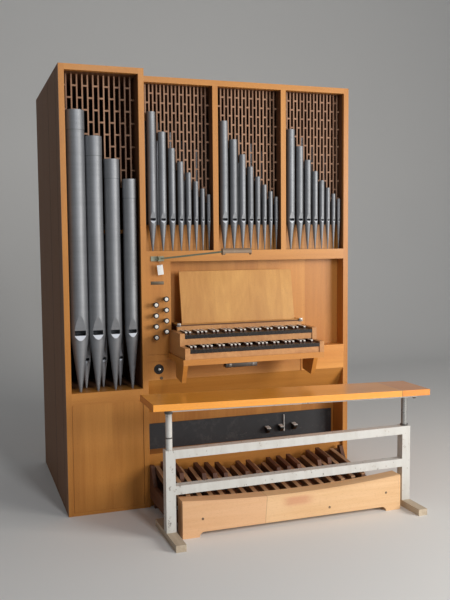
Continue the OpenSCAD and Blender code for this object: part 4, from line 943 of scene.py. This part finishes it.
class ORGAN_OT_stage(bpy.types.Operator):
    """Set the pale floor and backdrop, the soft lights and the camera"""

    bl_idname = "organ.stage"
    bl_label = "Stage"

    def execute(self, context):
        stage = context.scene.organ_stage
        self.backdrop(stage)
        self.lights(stage)
        self.camera(context.scene, stage)
        context.scene.view_settings.view_transform = "Standard"
        return {"FINISHED"}

    def backdrop(self, stage):
        """One sweep of floor and wall: flat to the bend, then up its curve and the wall."""
        half_width, near, bend, radius, wall = 14.0, -16.0, 3.4, 2.6, 9.0
        bm = bmesh.new()
        left = [bm.verts.new((-half_width, y, 0.0)) for y in (near, bend)]
        bm.edges.new(left)
        made = bmesh.ops.spin(bm, geom=[left[1]], cent=(-half_width, bend, radius), axis=(1, 0, 0),
                              angle=math.radians(90), steps=24)
        end = [part for part in made["geom_last"] if isinstance(part, bmesh.types.BMVert)]
        bmesh.ops.extrude_vert_indiv(bm, verts=end)
        bm.verts.ensure_lookup_table()
        bm.verts[-1].co.z += wall
        swept = bmesh.ops.extrude_edge_only(bm, edges=list(bm.edges))
        far = [part for part in swept["geom"] if isinstance(part, bmesh.types.BMVert)]
        bmesh.ops.translate(bm, vec=(2 * half_width, 0.0, 0.0), verts=far)
        bmesh.ops.recalc_face_normals(bm, faces=bm.faces)
        for face in bm.faces:
            face.smooth = True
        mesh = bpy.data.meshes.new("studio_sweep")
        bm.to_mesh(mesh)
        bm.free()
        finish = Finish("studio_sweep", {"Specular IOR Level": 0.2})
        cloud = finish.noise(1.3, 3.0)
        finish.feed("Base Color", finish.mix(cloud * 0.5, stage.floor, dim(stage.floor, 0.96)))
        finish.feed("Roughness", 0.7 + cloud * 0.1)
        mesh.materials.append(finish.material)
        sweep = bpy.data.objects.new("studio_sweep", mesh)
        bpy.context.scene.collection.objects.link(sweep)

    def lights(self, stage):
        """Soft light from all sides, a large key on the right and a tall light in front."""
        world = bpy.data.worlds.new("studio_sky")
        world.use_nodes = True
        shade = world.node_tree.nodes["Background"]
        shade.inputs["Color"].default_value = (*stage.sky, 1.0)
        shade.inputs["Strength"].default_value = stage.sky_power
        bpy.context.scene.world = world
        self.area("key_light", stage.key_at, stage.key_aim, (2.4, 2.0), stage.key_power, stage.key_tint)
        self.area("front_light", stage.front_at, stage.front_aim, (0.8, 2.6), stage.front_power,
                  stage.front_tint)

    def area(self, name, at, aim, size, power, tint):
        """An area light aimed at a point."""
        lamp = bpy.data.lights.new(name, "AREA")
        lamp.shape = "RECTANGLE"
        lamp.size, lamp.size_y = size
        lamp.energy = power
        lamp.color = tint
        made = bpy.data.objects.new(name, lamp)
        made.location = at
        made.rotation_euler = (Vector(aim) - Vector(at)).to_track_quat("-Z", "Y").to_euler()
        bpy.context.scene.collection.objects.link(made)

    def camera(self, scene, stage):
        """The camera, by its yaw, pitch and tilt."""
        yaw, pitch, tilt = (math.radians(angle) for angle in (stage.yaw, stage.pitch, -stage.tilt))
        ahead = Vector((math.sin(yaw) * math.cos(pitch), math.cos(yaw) * math.cos(pitch), -math.sin(pitch)))
        right = Vector((math.cos(yaw), -math.sin(yaw), 0.0))
        up = right.cross(ahead)
        leant = right * math.cos(tilt) + up * math.sin(tilt)
        raised = up * math.cos(tilt) - right * math.sin(tilt)
        lens = bpy.data.cameras.new("organ_camera")
        lens.sensor_fit = "VERTICAL"
        lens.sensor_height = 36.0
        lens.lens = stage.lens
        made = bpy.data.objects.new("organ_camera", lens)
        turn = Matrix((leant, raised, -ahead)).transposed().to_4x4()
        made.matrix_world = Matrix.Translation(stage.camera_at) @ turn
        scene.collection.objects.link(made)
        scene.camera = made


class ORGAN_PT_panel(bpy.types.Panel):
    """Lists the steps that dress the organ"""

    bl_label = "Organ"
    bl_idname = "ORGAN_PT_panel"
    bl_space_type = "VIEW_3D"
    bl_region_type = "UI"
    bl_category = "Organ"

    def draw(self, context):
        for step in STEPS:
            self.layout.operator(step.bl_idname)
        for group in GROUPS:
            settings = getattr(context.scene, group)
            for name in settings.bl_rna.properties.keys():
                if name not in ("rna_type", "name"):
                    self.layout.prop(settings, name)


STEPS = (ORGAN_OT_case, ORGAN_OT_pipes, ORGAN_OT_keys, ORGAN_OT_stops, ORGAN_OT_console, ORGAN_OT_lamp,
         ORGAN_OT_pedals, ORGAN_OT_bench, ORGAN_OT_stage)
GROUPS = {"organ_woods": OrganWoods, "organ_metals": OrganMetals, "organ_fittings": OrganFittings,
          "organ_stage": OrganStage}


def register():
    """Registers the settings, the steps and the panel."""
    for group in GROUPS.values():
        bpy.utils.register_class(group)
    for name, group in GROUPS.items():
        setattr(bpy.types.Scene, name, bpy.props.PointerProperty(type=group))
    for step in (*STEPS, ORGAN_PT_panel):
        bpy.utils.register_class(step)


def unregister():
    """Takes them away again."""
    for step in (ORGAN_PT_panel, *reversed(STEPS)):
        bpy.utils.unregister_class(step)
    for name, group in GROUPS.items():
        delattr(bpy.types.Scene, name)
        bpy.utils.unregister_class(group)


def main():
    """Dresses the organ."""
    register()
    for step in STEPS:
        space, name = step.bl_idname.split(".")
        getattr(getattr(bpy.ops, space), name)()


if __name__ == "__main__":
    main()
